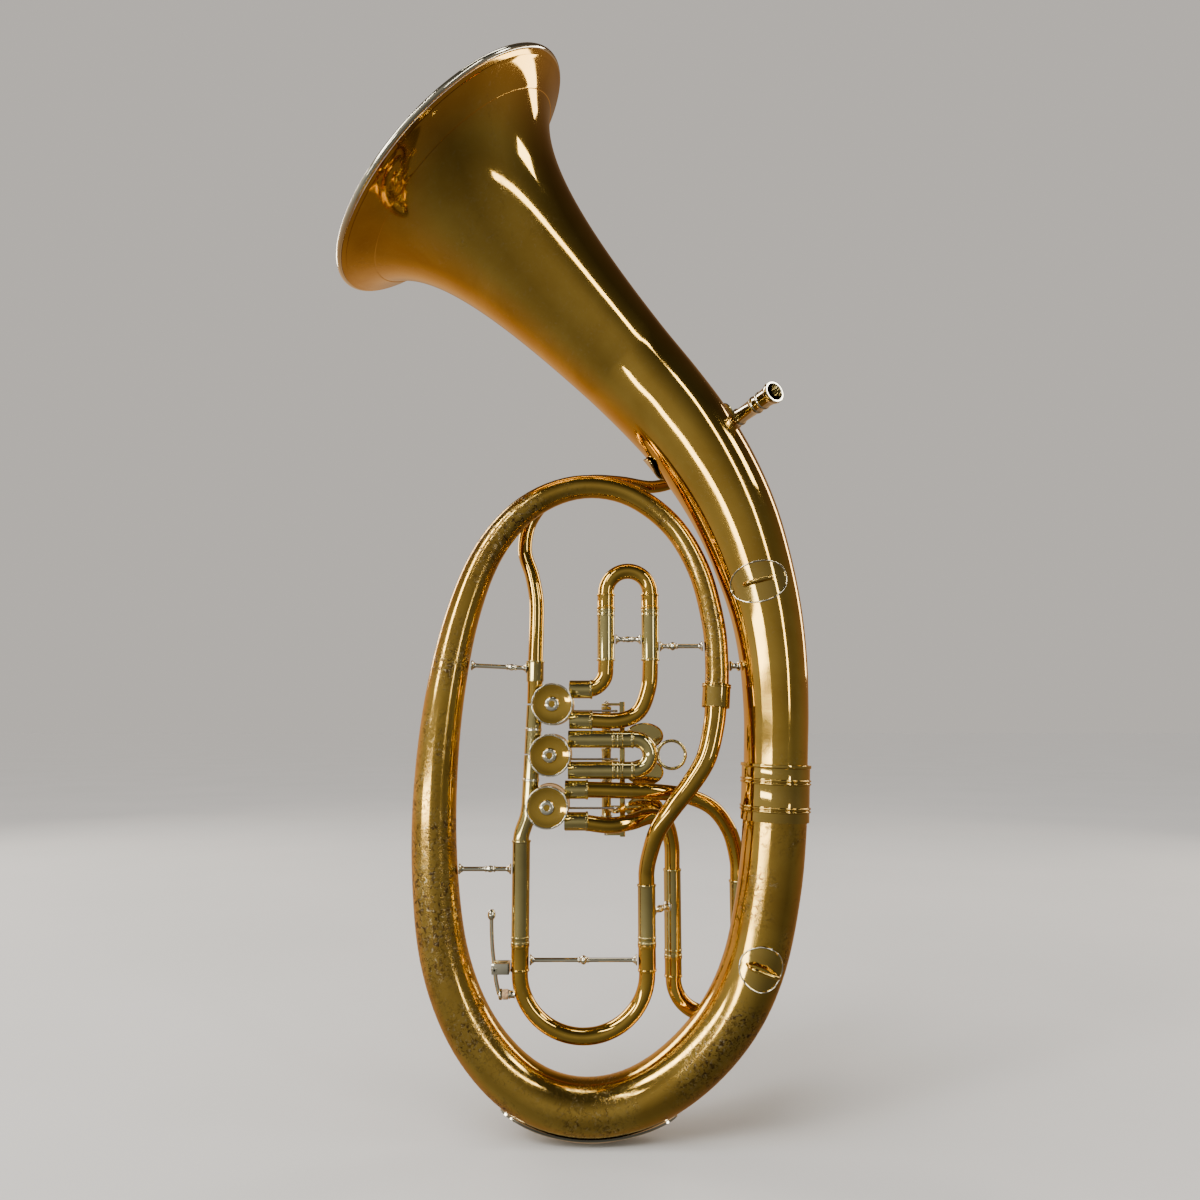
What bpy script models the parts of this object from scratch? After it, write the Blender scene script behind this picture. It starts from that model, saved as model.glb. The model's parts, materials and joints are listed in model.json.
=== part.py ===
"""Oval three-valve rotary alto horn, built as an assembly of separate pieces.

The horn stands upright: +Z is up, the rotor caps face -Y (the player's side),
the valve levers are on the +Y side and the plane of the oval is Y = 0.
Lengths below are millimetres and are turned into metres where objects are made.
"""

import math

import bmesh
import bpy
from mathutils import Matrix, Vector

MM = 0.001
OBJECT_NAME = "rotary_alto_horn"
CLEARANCE = 0.3
FRAME_SHIFT = Vector((17.449, 22.289, -2.706))

# Bell: a straight flare that runs into a curved tail.  Rows are x, y, z of the
# centre line and the outer radius.
BELL_RIM_CENTRE = Vector((-89.0, -22.0, 557.0))
BELL_FLARE_END = Vector((15.8, 0.0, 448.9))
BELL_RIM_RADIUS = 89.1
BELL_FLARE_SCALE = 15.0
BELL_FLARE_POWER = 0.431
BELL_FLARE_STEPS = 9
BELL_WALL = 0.7
BELL_TAIL = [
    (37.5, 0.5, 424.2, 29.6),
    (55.0, 0.2, 401.5, 28.1),
    (70.5, 0.0, 376.0, 26.5),
    (82.7, 0.0, 349.8, 24.8),
    (91.8, 0.0, 322.0, 22.8),
    (98.4, 0.0, 294.0, 20.9),
    (101.9, 0.0, 265.0, 19.6),
    (102.7, 0.0, 236.0, 18.7),
    (101.9, 0.0, 212.0, 18.3),
    (101.1, 0.0, 190.3, 18.2),
]
RIM_WIRE_RADIUS = 1.7

# Main bow: from the bell ferrule round the oval to the branch ferrule.
BOW_ROUTE = [
    (101.0, 0.0, 189.7, 18.2),
    (99.8, 0.0, 168.0, 18.2),
    (96.0, 0.0, 136.0, 18.0),
    (87.0, 0.0, 97.0, 17.6),
    (72.0, 0.0, 66.5, 17.1),
    (49.0, 0.0, 41.5, 16.4),
    (22.0, 0.0, 25.0, 15.7),
    (-6.0, 0.0, 19.4, 15.4),
    (-33.0, 0.0, 25.0, 15.0),
    (-56.0, 0.0, 41.0, 14.6),
    (-75.0, 0.0, 66.5, 14.1),
    (-88.0, 0.0, 101.0, 13.6),
    (-94.0, 0.0, 145.0, 13.0),
    (-95.0, 0.0, 192.0, 12.4),
    (-91.0, 0.0, 243.0, 11.4),
    (-81.5, 0.0, 292.0, 10.0),
    (-66.5, 0.0, 331.0, 8.9),
    (-44.0, 0.0, 357.5, 8.0),
    (-15.0, 0.0, 370.3, 7.2),
    (15.0, 0.0, 367.2, 6.8),
    (41.5, 0.0, 348.8, 6.7),
    (58.5, -0.3, 321.0, 6.7),
    (66.8, -1.5, 288.0, 6.8),
    (68.4, -2.6, 262.0, 6.9),
    (67.6, -3.2, 245.3, 7.0),
]
BOW_WALL = 0.7
GUARD_HALF_ANGLE = math.radians(40.0)
GUARD_WALL = 0.8

# Straight and bent tubing of the valve section.
TUBE_RADIUS = 4.6
TUBE_WALL = 0.5
SLEEVE_RADIUS = 5.3
SLEEVE_WALL = 0.35
TUBE_SIDES = 12

BRANCH_ROUTE = [
    (67.5, -3.3, 244.7, 6.5),
    (65.9, -5.0, 229.0, 6.2),
    (60.6, -8.0, 209.5, 5.9),
    (51.0, -10.0, 194.5, 5.6),
    (41.0, -10.4, 182.0, 5.3),
    (32.5, -8.0, 169.0, 5.0),
    (28.0, -4.0, 155.0, 4.7),
    (26.5, -0.9, 146.0, 4.6),
    (26.5, 0.0, 138.9, 4.6),
]

# Leadpipe: from the receiver, behind the bell and the top of the bow, to valve 1.
LEADPIPE_ROUTE = [
    (83.0, 17.1, 417.3, 3.9),
    (79.3, 23.8, 416.2, 3.9),
    (73.5, 31.5, 411.5, 3.9),
    (65.0, 36.3, 402.0, 3.9),
    (52.0, 37.0, 387.0, 4.0),
    (34.0, 32.0, 379.5, 4.0),
    (12.0, 25.0, 380.5, 4.1),
    (-10.0, 20.5, 379.5, 4.1),
    (-30.0, 17.5, 370.0, 4.2),
    (-43.0, 16.0, 353.0, 4.2),
    (-46.0, 13.0, 334.0, 4.3),
    (-41.0, 9.0, 317.5, 4.3),
    (-38.0, 5.5, 301.0, 4.4),
    (-37.8, 2.0, 280.0, 4.4),
    (-38.0, 0.0, 262.0, 4.4),
    (-38.2, 0.0, 240.6, 4.4),
]
RECEIVER_START = Vector((81.4, 20.0, 416.8))
RECEIVER_END = Vector((103.3, -20.0, 423.4))
RECEIVER_BASE_RADIUS = 6.0

# Rotary valves.  Their axes lie along Y; each valve is one step below the last.
VALVE_COUNT = 3
VALVE_TOP = Vector((-27.3, 0.0, 240.0))
VALVE_STEP = Vector((-1.2, 0.0, -28.8))
CASING_RADIUS = 12.0
CASING_BORE = 10.4
CASING_HALF_LENGTH = 12.0
PORT_OFFSET = 8.9
KNUCKLE_OFFSET = 10.9
PORT_HOLE_RADIUS = 3.5
ROTOR_RADIUS = 10.0
ROTOR_HALF_LENGTH = 10.0
ROTOR_TURN = math.radians(90.0)
STOP_PIN_REACH = 7.5
STOP_PIN_END = 18.7

# Lever action on the far side.
HINGE_X = 4.0
HINGE_Y = 44.0
LEVER_ARM = 24.0
LEVER_SWING = 2.0 * math.asin(STOP_PIN_REACH * math.sin(ROTOR_TURN / 2.0) / LEVER_ARM)
RACK_TOP_Z = 241.0
RACK_PITCH = 26.0
LEVER_TUBE_LENGTH = 23.8
PADDLE_LENGTH = 24.0
PADDLE_WIDTH = 16.5
PADDLE_CENTRE_X = 28.0
PADDLE_TOP_Z = 221.5
PADDLE_PITCH = 22.5

# Slides: the two leg positions and how far the inner legs reach into the sleeves.
TUNING_LEFT_X = -45.0
TUNING_RIGHT_X = 26.5
TUNING_SHOULDER_Z = 106.2
FIRST_LEFT_X = 3.5
FIRST_RIGHT_X = 29.6
FIRST_SHOULDER_Z = 296.0
SECOND_SHOULDER_X = 11.2
THIRD_LEFT_X = 43.0
THIRD_RIGHT_X = 82.0
THIRD_Y = 24.0
THIRD_SHOULDER_Z = 94.0
THIRD_BRACE_Z = 122.8

WATER_KEY_AXIS = Vector((-58.8, 0.0, 93.0))
WATER_KEY_CORK_Z = 79.0
NIPPLE_X = -51.0
WATER_KEY_CORK_DEPTH = 3.2

BRASS = ("lacquered_brass", (0.78, 0.52, 0.16, 1.0), 0.22, 1.0)
NICKEL = ("nickel_silver", (0.72, 0.69, 0.55, 1.0), 0.2, 1.0)
STEEL = ("polished_steel", (0.66, 0.67, 0.68, 1.0), 0.25, 1.0)
CORK = ("natural_cork", (0.50, 0.33, 0.19, 1.0), 0.85, 0.0)


# ---------------------------------------------------------------- scene tools

def clear_scene():
    """Remove every object of the scene the script starts in."""
    for old in list(bpy.data.objects):
        bpy.data.objects.remove(old, do_unlink=True)


def new_collection(name):
    """A fresh collection linked to the scene."""
    collection = bpy.data.collections.new(name)
    bpy.context.scene.collection.children.link(collection)
    return collection


def material(finish):
    """The Principled material of one finish, made once."""
    name, colour, roughness, metallic = finish
    known = bpy.data.materials.get(name)
    if known:
        return known
    made = bpy.data.materials.new(name)
    made.use_nodes = True
    shader = made.node_tree.nodes["Principled BSDF"]
    shader.inputs["Base Color"].default_value = colour
    shader.inputs["Roughness"].default_value = roughness
    shader.inputs["Metallic"].default_value = metallic
    return made


def add_object(name, data, finish, origin=Vector()):
    """Link an object made from mesh or curve data whose points are in millimetres from origin."""
    made = bpy.data.objects.new(name, data)
    made.location = Vector(origin) * MM
    PARTS.objects.link(made)
    data.materials.append(material(finish))
    return made


def from_bmesh(name, shape, finish, origin=Vector()):
    """Turn a bmesh in millimetres into an object."""
    bmesh.ops.scale(shape, vec=Vector((MM, MM, MM)), verts=shape.verts)
    data = bpy.data.meshes.new(name)
    shape.to_mesh(data)
    shape.free()
    return add_object(name, data, finish, origin)


def applied(source):
    """Replace an object by the mesh that its modifiers make, with loose caps welded."""
    bpy.context.view_layer.update()
    evaluated = source.evaluated_get(bpy.context.evaluated_depsgraph_get())
    data = bpy.data.meshes.new_from_object(evaluated)
    shape = bmesh.new()
    shape.from_mesh(data)
    bmesh.ops.remove_doubles(shape, verts=shape.verts, dist=0.002 * MM)
    shape.to_mesh(data)
    shape.free()
    name = source.name
    matrix = source.matrix_world.copy()
    collection = source.users_collection[0]
    bpy.data.objects.remove(source, do_unlink=True)
    made = bpy.data.objects.new(name, data)
    made.matrix_world = matrix
    collection.objects.link(made)
    return made


def combine(target, other, operation):
    """Boolean another object into a target and remove the other one."""
    modifier = target.modifiers.new(operation.lower(), "BOOLEAN")
    modifier.operation = operation
    modifier.object = other
    modifier.solver = "EXACT"
    made = applied(target)
    bpy.data.objects.remove(other, do_unlink=True)
    return made


def fuse(first, *others):
    """Join overlapping solids into one body."""
    for other in others:
        first = combine(first, other, "UNION")
    return first


def cut(target, *cutters):
    """Take cutters out of a solid."""
    for cutter in cutters:
        target = combine(target, cutter, "DIFFERENCE")
    return target


# ---------------------------------------------------------------- shapes

def facing(direction):
    """The rotation that turns local +Z to a direction."""
    return Vector(direction).to_track_quat("Z", "Y").to_matrix().to_4x4()


def smooth(rows, per_span):
    """Points of a Catmull-Rom curve through rows of numbers."""
    rows = [Vector(row) for row in rows]
    first = 2.0 * rows[0] - rows[1]
    last = 2.0 * rows[-1] - rows[-2]
    padded = [first] + rows + [last]
    points = []
    for index in range(1, len(padded) - 2):
        a, b, c, d = padded[index - 1:index + 3]
        for step in range(per_span):
            t = step / per_span
            points.append(
                0.5 * (2.0 * b + (c - a) * t + (2.0 * a - 5.0 * b + 4.0 * c - d) * t * t
                       + (3.0 * b - a - 3.0 * c + d) * t ** 3)
            )
    points.append(rows[-1])
    return points


def arc(centre, along, across, radius, steps, bulge=1.0):
    """Points of a half circle that starts at -across and bulges along a direction."""
    points = []
    for step in range(steps + 1):
        angle = math.pi * step / steps
        reach = bulge * math.sin(angle) * Vector(along) - math.cos(angle) * Vector(across)
        points.append(Vector(centre) + radius * reach)
    return points


def skin(points, radii, sides, capped):
    """The mesh of a round tube surface along points, made by a bevelled curve."""
    data = bpy.data.curves.new("skin", "CURVE")
    data.dimensions = "3D"
    data.bevel_depth = MM
    data.bevel_resolution = (sides - 4) // 2
    data.use_fill_caps = capped
    spline = data.splines.new("POLY")
    spline.points.add(len(points) - 1)
    for slot, point, radius in zip(spline.points, points, radii):
        slot.co = (*(Vector(point) * MM), 1.0)
        slot.radius = radius
    source = bpy.data.objects.new("skin", data)
    PARTS.objects.link(source)
    bpy.context.view_layer.update()
    evaluated = source.evaluated_get(bpy.context.evaluated_depsgraph_get())
    mesh = bpy.data.meshes.new_from_object(evaluated)
    bpy.data.objects.remove(source, do_unlink=True)
    return mesh


def end_edges(shape, point, reach):
    """The open edges of a tube at one of its ends."""
    near = Vector(point) * MM
    return [
        edge for edge in shape.edges
        if edge.is_boundary and all((v.co - near).length < reach * MM for v in edge.verts)
    ]


def tube(name, points, radii, wall, finish, sides=TUBE_SIDES, origin=Vector()):
    """A hollow tube along points; a wall of 0 gives a solid rod."""
    shape = bmesh.new()
    shape.from_mesh(skin(points, radii, sides, wall == 0.0))
    if wall > 0.0:
        outer = set(shape.faces)
        shape.from_mesh(skin(points, [radius - wall for radius in radii], sides, False))
        bmesh.ops.reverse_faces(shape, faces=[face for face in shape.faces if face not in outer])
        for point, radius in ((points[0], radii[0]), (points[-1], radii[-1])):
            bmesh.ops.bridge_loops(shape, edges=end_edges(shape, point, radius * 1.02))
    bmesh.ops.remove_doubles(shape, verts=shape.verts, dist=0.002 * MM)
    bmesh.ops.recalc_face_normals(shape, faces=shape.faces)
    bmesh.ops.translate(shape, vec=-Vector(origin) * MM, verts=shape.verts)
    data = bpy.data.meshes.new(name)
    shape.to_mesh(data)
    shape.free()
    return add_object(name, data, finish, origin)


def route_tube(name, rows, per_span, wall, finish, sides=TUBE_SIDES):
    """A hollow tube along a smooth route of x, y, z and radius."""
    points = smooth(rows, per_span)
    centres = [point.to_3d() for point in points]
    return tube(name, centres, [point[3] for point in points], wall, finish, sides)


def straight_tube(name, start, end, radius, wall, finish, sides=TUBE_SIDES):
    """A straight hollow tube."""
    return tube(name, [start, end], [radius, radius], wall, finish, sides)


def rod(name, start, end, radius, finish, sides=12, origin=None):
    """A solid round bar between two points."""
    start = Vector(start)
    end = Vector(end)
    origin = start if origin is None else Vector(origin)
    shape = bmesh.new()
    bmesh.ops.create_cone(
        shape,
        cap_ends=True,
        segments=sides,
        radius1=radius,
        radius2=radius,
        depth=(end - start).length,
        matrix=Matrix.Translation((start + end) / 2.0 - origin) @ facing(end - start),
    )
    return from_bmesh(name, shape, finish, origin)


def box(name, low, high, finish, origin=None, bevel=0.0):
    """A rectangular bar between two corners."""
    low = Vector(low)
    high = Vector(high)
    origin = (low + high) / 2.0 if origin is None else Vector(origin)
    size = high - low
    shape = bmesh.new()
    bmesh.ops.create_cube(
        shape,
        size=1.0,
        matrix=Matrix.Translation((low + high) / 2.0 - origin) @ Matrix.Diagonal((*size, 1.0)),
    )
    made = from_bmesh(name, shape, finish, origin)
    if bevel > 0.0:
        rounding = made.modifiers.new("bevel", "BEVEL")
        rounding.width = bevel * MM
        rounding.segments = 1
    return made


def turned(name, profile, start, direction, finish, sides=24, origin=None):
    """A turned piece: rows of radius and height along a direction; a closed ring when it is hollow."""
    start = Vector(start)
    origin = start if origin is None else Vector(origin)
    data = bpy.data.meshes.new(name)
    hollow = min(radius for radius, _ in profile) > 0.0
    points = [Vector((radius * MM, 0.0, height * MM)) for radius, height in profile]
    edges = [(index, index + 1) for index in range(len(points) - 1)]
    if hollow:
        edges.append((len(points) - 1, 0))
    data.from_pydata(points, edges, [])
    made = add_object(name, data, finish)
    screw = made.modifiers.new("turn", "SCREW")
    screw.axis = "Z"
    screw.steps = sides
    screw.render_steps = sides
    screw.use_merge_vertices = True
    screw.merge_threshold = 0.0001 * MM
    screw.use_normal_calculate = True
    made = applied(made)
    shape = bmesh.new()
    shape.from_mesh(made.data)
    bmesh.ops.transform(
        shape,
        matrix=Matrix.Translation((start - origin) * MM) @ facing(direction),
        verts=shape.verts,
    )
    bmesh.ops.recalc_face_normals(shape, faces=shape.faces)
    shape.to_mesh(made.data)
    shape.free()
    made.location = origin * MM
    return made


def ring_profile(inner, outer, low, high):
    """The section of a plain ring, for turned()."""
    return [(inner, low), (outer, low), (outer, high), (inner, high)]


def baluster(name, start, end, finish=NICKEL, radius=1.3, foot=3.0, bead=2.6, bead_at=0.5):
    """A turned brace: two feet, a slim rod and one bead."""
    start = Vector(start)
    end = Vector(end)
    length = (end - start).length
    middle = length * bead_at
    profile = [
        (0.0, 0.0),
        (foot, 0.0),
        (foot, 0.7),
        (radius, 2.4),
        (radius, middle - 2.2),
        (bead, middle),
        (radius, middle + 2.2),
        (radius, length - 2.4),
        (foot, length - 0.7),
        (foot, length),
        (0.0, length),
    ]
    return turned(name, profile, start, end - start, finish, sides=8)


def wrapped_plate(name, stations, outline, wall, gap, finish, rings=4, sides=20):
    """An oval plate that hugs a tapered tube.

    stations(t) gives centre, axis, side and front vectors and the radius at a distance
    t along the tube; outline is the half angle, the half length and the middle angle.
    """
    half_angle, half_length, middle_angle = outline
    shape = bmesh.new()
    bmesh.ops.create_circle(shape, cap_ends=True, segments=sides, radius=1.0)
    for _ in range(rings - 1):
        inner = [face for face in shape.faces if len(face.verts) == sides]
        bmesh.ops.inset_individual(shape, faces=inner, thickness=1.0 / rings, use_even_offset=True)
    core = [face for face in shape.faces if len(face.verts) == sides]
    bmesh.ops.poke(shape, faces=core)
    for vertex in shape.verts:
        centre, side, front, radius = stations(vertex.co.y * half_length)
        angle = middle_angle + vertex.co.x * half_angle
        reach = math.sin(angle) * side + math.cos(angle) * front
        vertex.co = centre + (radius + gap) * reach
    made = from_bmesh(name, shape, finish)
    shell = made.modifiers.new("wall", "SOLIDIFY")
    shell.thickness = wall * MM
    shell.offset = 1.0
    return outward(applied(made))


def outward(made):
    """Turn every face of a closed mesh outward."""
    shape = bmesh.new()
    shape.from_mesh(made.data)
    bmesh.ops.recalc_face_normals(shape, faces=shape.faces)
    shape.to_mesh(made.data)
    shape.free()
    return made


def along_route(rows, start_index):
    """A function that gives the section of a smooth route at a distance from one of its rows."""
    per_span = 8
    points = smooth(rows, per_span)
    places = [point.to_3d() for point in points]
    travel = [0.0]
    for before, after in zip(places, places[1:]):
        travel.append(travel[-1] + (after - before).length)
    zero = travel[start_index * per_span]

    def section(distance):
        target = min(max(zero + distance, 0.0), travel[-1] - 1e-6)
        index = next(i for i in range(len(travel) - 1) if travel[i + 1] > target)
        share = (target - travel[index]) / (travel[index + 1] - travel[index])
        row = points[index].lerp(points[index + 1], share)
        axis = (places[index + 1] - places[index]).normalized()
        front = Vector((0.0, -1.0, 0.0))
        front = (front - axis * front.dot(axis)).normalized()
        side = axis.cross(front)
        return row.to_3d(), side, front, row[3]

    return section


# ---------------------------------------------------------------- bell and bow

def bell_rows():
    """Centre line and radius of the bell, from its rim to the bell ferrule."""
    axis = BELL_FLARE_END - BELL_RIM_CENTRE
    rows = []
    for step in range(BELL_FLARE_STEPS + 1):
        depth = axis.length * (step / BELL_FLARE_STEPS) ** 1.8
        place = BELL_RIM_CENTRE + axis.normalized() * depth
        rows.append((*place, bell_radius(depth)))
    tail = smooth([rows[-1]] + BELL_TAIL, 1)[1:]
    return rows + [tuple(row) for row in tail]


def bell_radius(depth):
    """Outer radius of the flare at a depth behind the rim, a Bessel horn."""
    share = BELL_FLARE_SCALE / (BELL_FLARE_SCALE + depth)
    return BELL_RIM_RADIUS * share ** BELL_FLARE_POWER


def build_bell():
    """Bell, rolled rim wire and the ferrule that joins the bell to the bow."""
    rows = bell_rows()
    centres = [Vector(row[:3]) for row in rows]
    tube("bell", centres, [row[3] for row in rows], BELL_WALL, BRASS, sides=18)
    axis = (BELL_FLARE_END - BELL_RIM_CENTRE).normalized()
    wire = [
        (
            BELL_RIM_RADIUS + RIM_WIRE_RADIUS * math.cos(angle),
            -RIM_WIRE_RADIUS - CLEARANCE + RIM_WIRE_RADIUS * math.sin(angle),
        )
        for angle in (math.radians(60.0 * corner) for corner in range(6))
    ]
    turned("bell_rim_wire", wire, BELL_RIM_CENTRE, axis, NICKEL, sides=30)
    low = Vector(BOW_ROUTE[1][:3])
    high = Vector(BELL_TAIL[-2][:3])
    up = (high - low).normalized()
    joint = (Vector(BOW_ROUTE[0][:3]) + Vector(BELL_TAIL[-1][:3])) / 2.0
    profile = [
        (18.9, -16.0), (19.6, -16.0), (19.6, -9.6), (20.6, -8.6), (19.6, -7.6),
        (19.6, 5.4), (20.6, 6.4), (19.6, 7.4), (19.6, 14.0), (20.2, 15.0),
        (20.2, 16.0), (18.9, 16.0),
    ]
    turned("bell_ferrule", profile, joint, up, NICKEL, sides=18)


def build_bow():
    """Main bow, its guard, the branch and the ferrule between them."""
    route_tube("main_bow", BOW_ROUTE, 1, BOW_WALL, BRASS, sides=14)
    guard_at = along_route(BOW_ROUTE, 7)
    wrapped_plate(
        "bow_guard", guard_at, (GUARD_HALF_ANGLE, 42.0, math.radians(-90.0)),
        GUARD_WALL, 0.5, NICKEL, rings=3, sides=24,
    )
    route_tube("main_branch", BRANCH_ROUTE, 1, TUBE_WALL, BRASS)
    joint = (Vector(BOW_ROUTE[-1][:3]) + Vector(BRANCH_ROUTE[0][:3])) / 2.0
    up = (Vector(BOW_ROUTE[-2][:3]) - Vector(BRANCH_ROUTE[1][:3])).normalized()
    profile = [
        (7.5, -6.8), (8.1, -6.8), (8.1, 5.6), (8.6, 6.2), (8.6, 6.8), (7.5, 6.8),
    ]
    turned("branch_ferrule", profile, joint, up, NICKEL, sides=16)


# ---------------------------------------------------------------- valves

def valve_centre(index):
    """Middle of one rotary valve, counted from the top."""
    return VALVE_TOP + VALVE_STEP * index


def casing_cutter(index):
    """A cylinder a little wider than a casing, to shape the tubes that meet it."""
    centre = valve_centre(index)
    reach = Vector((0.0, 30.0, 0.0))
    return rod(
        "casing_cutter", centre - reach, centre + reach,
        CASING_RADIUS + CLEARANCE, BRASS, sides=24,
    )


def build_casing(index):
    """A casing with its four ports."""
    centre = valve_centre(index)
    front = centre - Vector((0.0, CASING_HALF_LENGTH, 0.0))
    casing = turned(
        f"valve_casing_{index + 1}",
        ring_profile(CASING_BORE, CASING_RADIUS, 0.0, 2.0 * CASING_HALF_LENGTH),
        front, (0.0, 1.0, 0.0), NICKEL, sides=20,
    )
    for quarter in range(4):
        angle = math.radians(45.0 + 90.0 * quarter)
        out = Vector((math.cos(angle), 0.0, math.sin(angle)))
        hole = rod("port", centre + out * 8.0, centre + out * 15.0, PORT_HOLE_RADIUS, NICKEL, 8)
        casing = cut(casing, hole)


def build_cap(index):
    """The dished screw cap at the front of a valve."""
    front = valve_centre(index) - Vector((0.0, CASING_HALF_LENGTH + CLEARANCE, 0.0))
    profile = [
        (0.0, 0.0), (12.2, 0.0), (12.2, 2.6), (11.6, 3.2), (10.6, 3.2), (9.8, 2.5),
        (4.2, 2.1), (4.2, 3.9), (3.4, 4.5), (1.5, 4.5), (1.5, 2.6), (0.0, 2.6),
    ]
    turned(f"valve_cap_{index + 1}", profile, front, (0.0, -1.0, 0.0), BRASS, sides=18)


def build_rotor(index):
    """A rotor with its two curved passages and its spindles."""
    centre = valve_centre(index)
    profile = [
        (0.0, -11.6), (2.0, -11.6), (2.0, -ROTOR_HALF_LENGTH),
        (ROTOR_RADIUS, -ROTOR_HALF_LENGTH), (ROTOR_RADIUS, ROTOR_HALF_LENGTH),
        (2.4, ROTOR_HALF_LENGTH), (2.4, 15.3), (0.0, 15.3),
    ]
    rotor = turned(f"rotor_{index + 1}", profile, centre, (0.0, 1.0, 0.0), BRASS, 16, centre)
    for side in (-1.0, 1.0):
        bend = ROTOR_RADIUS * math.sqrt(2.0)
        swing = [math.radians(18.0 * step) for step in range(-3, 4)]
        points = [
            centre + Vector((
                side * (bend - ROTOR_RADIUS * math.cos(angle)),
                0.0,
                ROTOR_RADIUS * math.sin(angle),
            ))
            for angle in swing
        ]
        passage = tube("passage", points, [PORT_HOLE_RADIUS] * len(points), 0.0, BRASS, 8)
        rotor = cut(rotor, passage)


def build_stop_arm(index):
    """The stop arm on the rotor's rear spindle, with the pin that the link drives."""
    centre = valve_centre(index)
    name = f"stop_arm_{index + 1}"
    back = centre + Vector((0.0, 15.6, 0.0))
    hub = turned(
        name, [(0.0, 0.0), (4.0, 0.0), (4.0, 2.4), (2.2, 2.4), (2.2, 3.0), (0.0, 3.0)],
        back, (0.0, 1.0, 0.0), STEEL, 12, centre,
    )
    reach = STOP_PIN_REACH * math.sin(ROTOR_TURN / 2.0)
    pin = centre + Vector((reach, 0.0, -reach))
    arm = rod("arm", back + Vector((0.0, 1.0, 0.0)), pin + Vector((0.0, 16.6, 0.0)), 1.1, STEEL, 8)
    head = rod(
        "head", pin + Vector((0.0, 15.8, 0.0)), pin + Vector((0.0, STOP_PIN_END, 0.0)),
        1.7, STEEL, 8,
    )
    tail_end = centre + Vector((-reach * 1.35, 16.6, reach * 1.35))
    tail = rod("tail", back + Vector((0.0, 1.0, 0.0)), tail_end, 0.9, STEEL, 8)
    fuse(hub, arm, head, tail)


def build_bearing_plate(index):
    """The plate behind a casing that the rotor's rear spindle turns in."""
    back = valve_centre(index) + Vector((0.0, CASING_HALF_LENGTH + CLEARANCE, 0.0))
    profile = ring_profile(2.9, 12.0, 0.0, 2.4)
    turned(f"bearing_plate_{index + 1}", profile, back, (0.0, 1.0, 0.0), NICKEL, 16)


def build_valve_passages():
    """Knuckles between the valves and the tube that leaves the last one."""
    for index in range(VALVE_COUNT - 1):
        start = valve_centre(index) + Vector((-KNUCKLE_OFFSET, 0.0, -CLEARANCE))
        end = valve_centre(index + 1) + Vector((-KNUCKLE_OFFSET, 0.0, CLEARANCE))
        name = f"valve_knuckle_{index + 1}"
        knuckle = straight_tube(name, start, end, TUBE_RADIUS, TUBE_WALL, NICKEL)
        cut(knuckle, casing_cutter(index), casing_cutter(index + 1))
    last = valve_centre(VALVE_COUNT - 1)
    rows = [
        (last.x - KNUCKLE_OFFSET, 0.0, last.z - CLEARANCE, TUBE_RADIUS),
        (last.x - KNUCKLE_OFFSET - 1.2, 0.0, last.z - 7.0, TUBE_RADIUS),
        (TUNING_LEFT_X, 0.0, last.z - 17.0, TUBE_RADIUS),
        (TUNING_LEFT_X, 0.0, last.z - 28.0, TUBE_RADIUS),
    ]
    exit_tube = route_tube("valve_exit_tube", rows, 1, TUBE_WALL, NICKEL)
    cut(exit_tube, casing_cutter(VALVE_COUNT - 1))


# ---------------------------------------------------------------- leadpipe

def build_leadpipe():
    """Leadpipe, the mouthpiece receiver and the flange on the bell."""
    pipe = route_tube("leadpipe", LEADPIPE_ROUTE, 1, TUBE_WALL, BRASS)
    cut(pipe, casing_cutter(0))
    length = (RECEIVER_END - RECEIVER_START).length
    base = RECEIVER_BASE_RADIUS
    outside = [
        (5.4, 0.0), (base, 1.0), (base, 2.4), (5.0, 3.6), (5.0, 5.4), (5.8, 6.6), (5.0, 7.8),
        (5.0, 10.0), (5.7, 11.4), (5.0, 12.8), (4.8, 16.0), (4.9, length - 19.0),
        (5.7, length - 17.6), (5.1, length - 16.0), (5.4, length - 10.0), (6.0, length - 3.4),
        (6.8, length - 1.6), (6.8, length),
    ]
    bore = [(5.2, length), (3.0, length - 24.0), (3.0, 4.6), (4.6, 4.6), (4.6, 0.0)]
    direction = RECEIVER_END - RECEIVER_START
    turned("mouthpiece_receiver", outside + bore, RECEIVER_START, direction, NICKEL, 16)
    rows = [(*BELL_FLARE_END, bell_radius((BELL_FLARE_END - BELL_RIM_CENTRE).length))] + BELL_TAIL
    flange = wrapped_plate(
        "leadpipe_flange", along_route(rows, 2), (math.radians(100.0), 12.0, math.pi),
        0.8, 1.6, NICKEL, rings=5, sides=20,
    )
    step = direction.normalized() * 4.0
    seat = rod(
        "seat", RECEIVER_START - step, RECEIVER_START + step, base + CLEARANCE, NICKEL, 24,
    )
    cut(flange, seat)


# ---------------------------------------------------------------- slides

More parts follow.
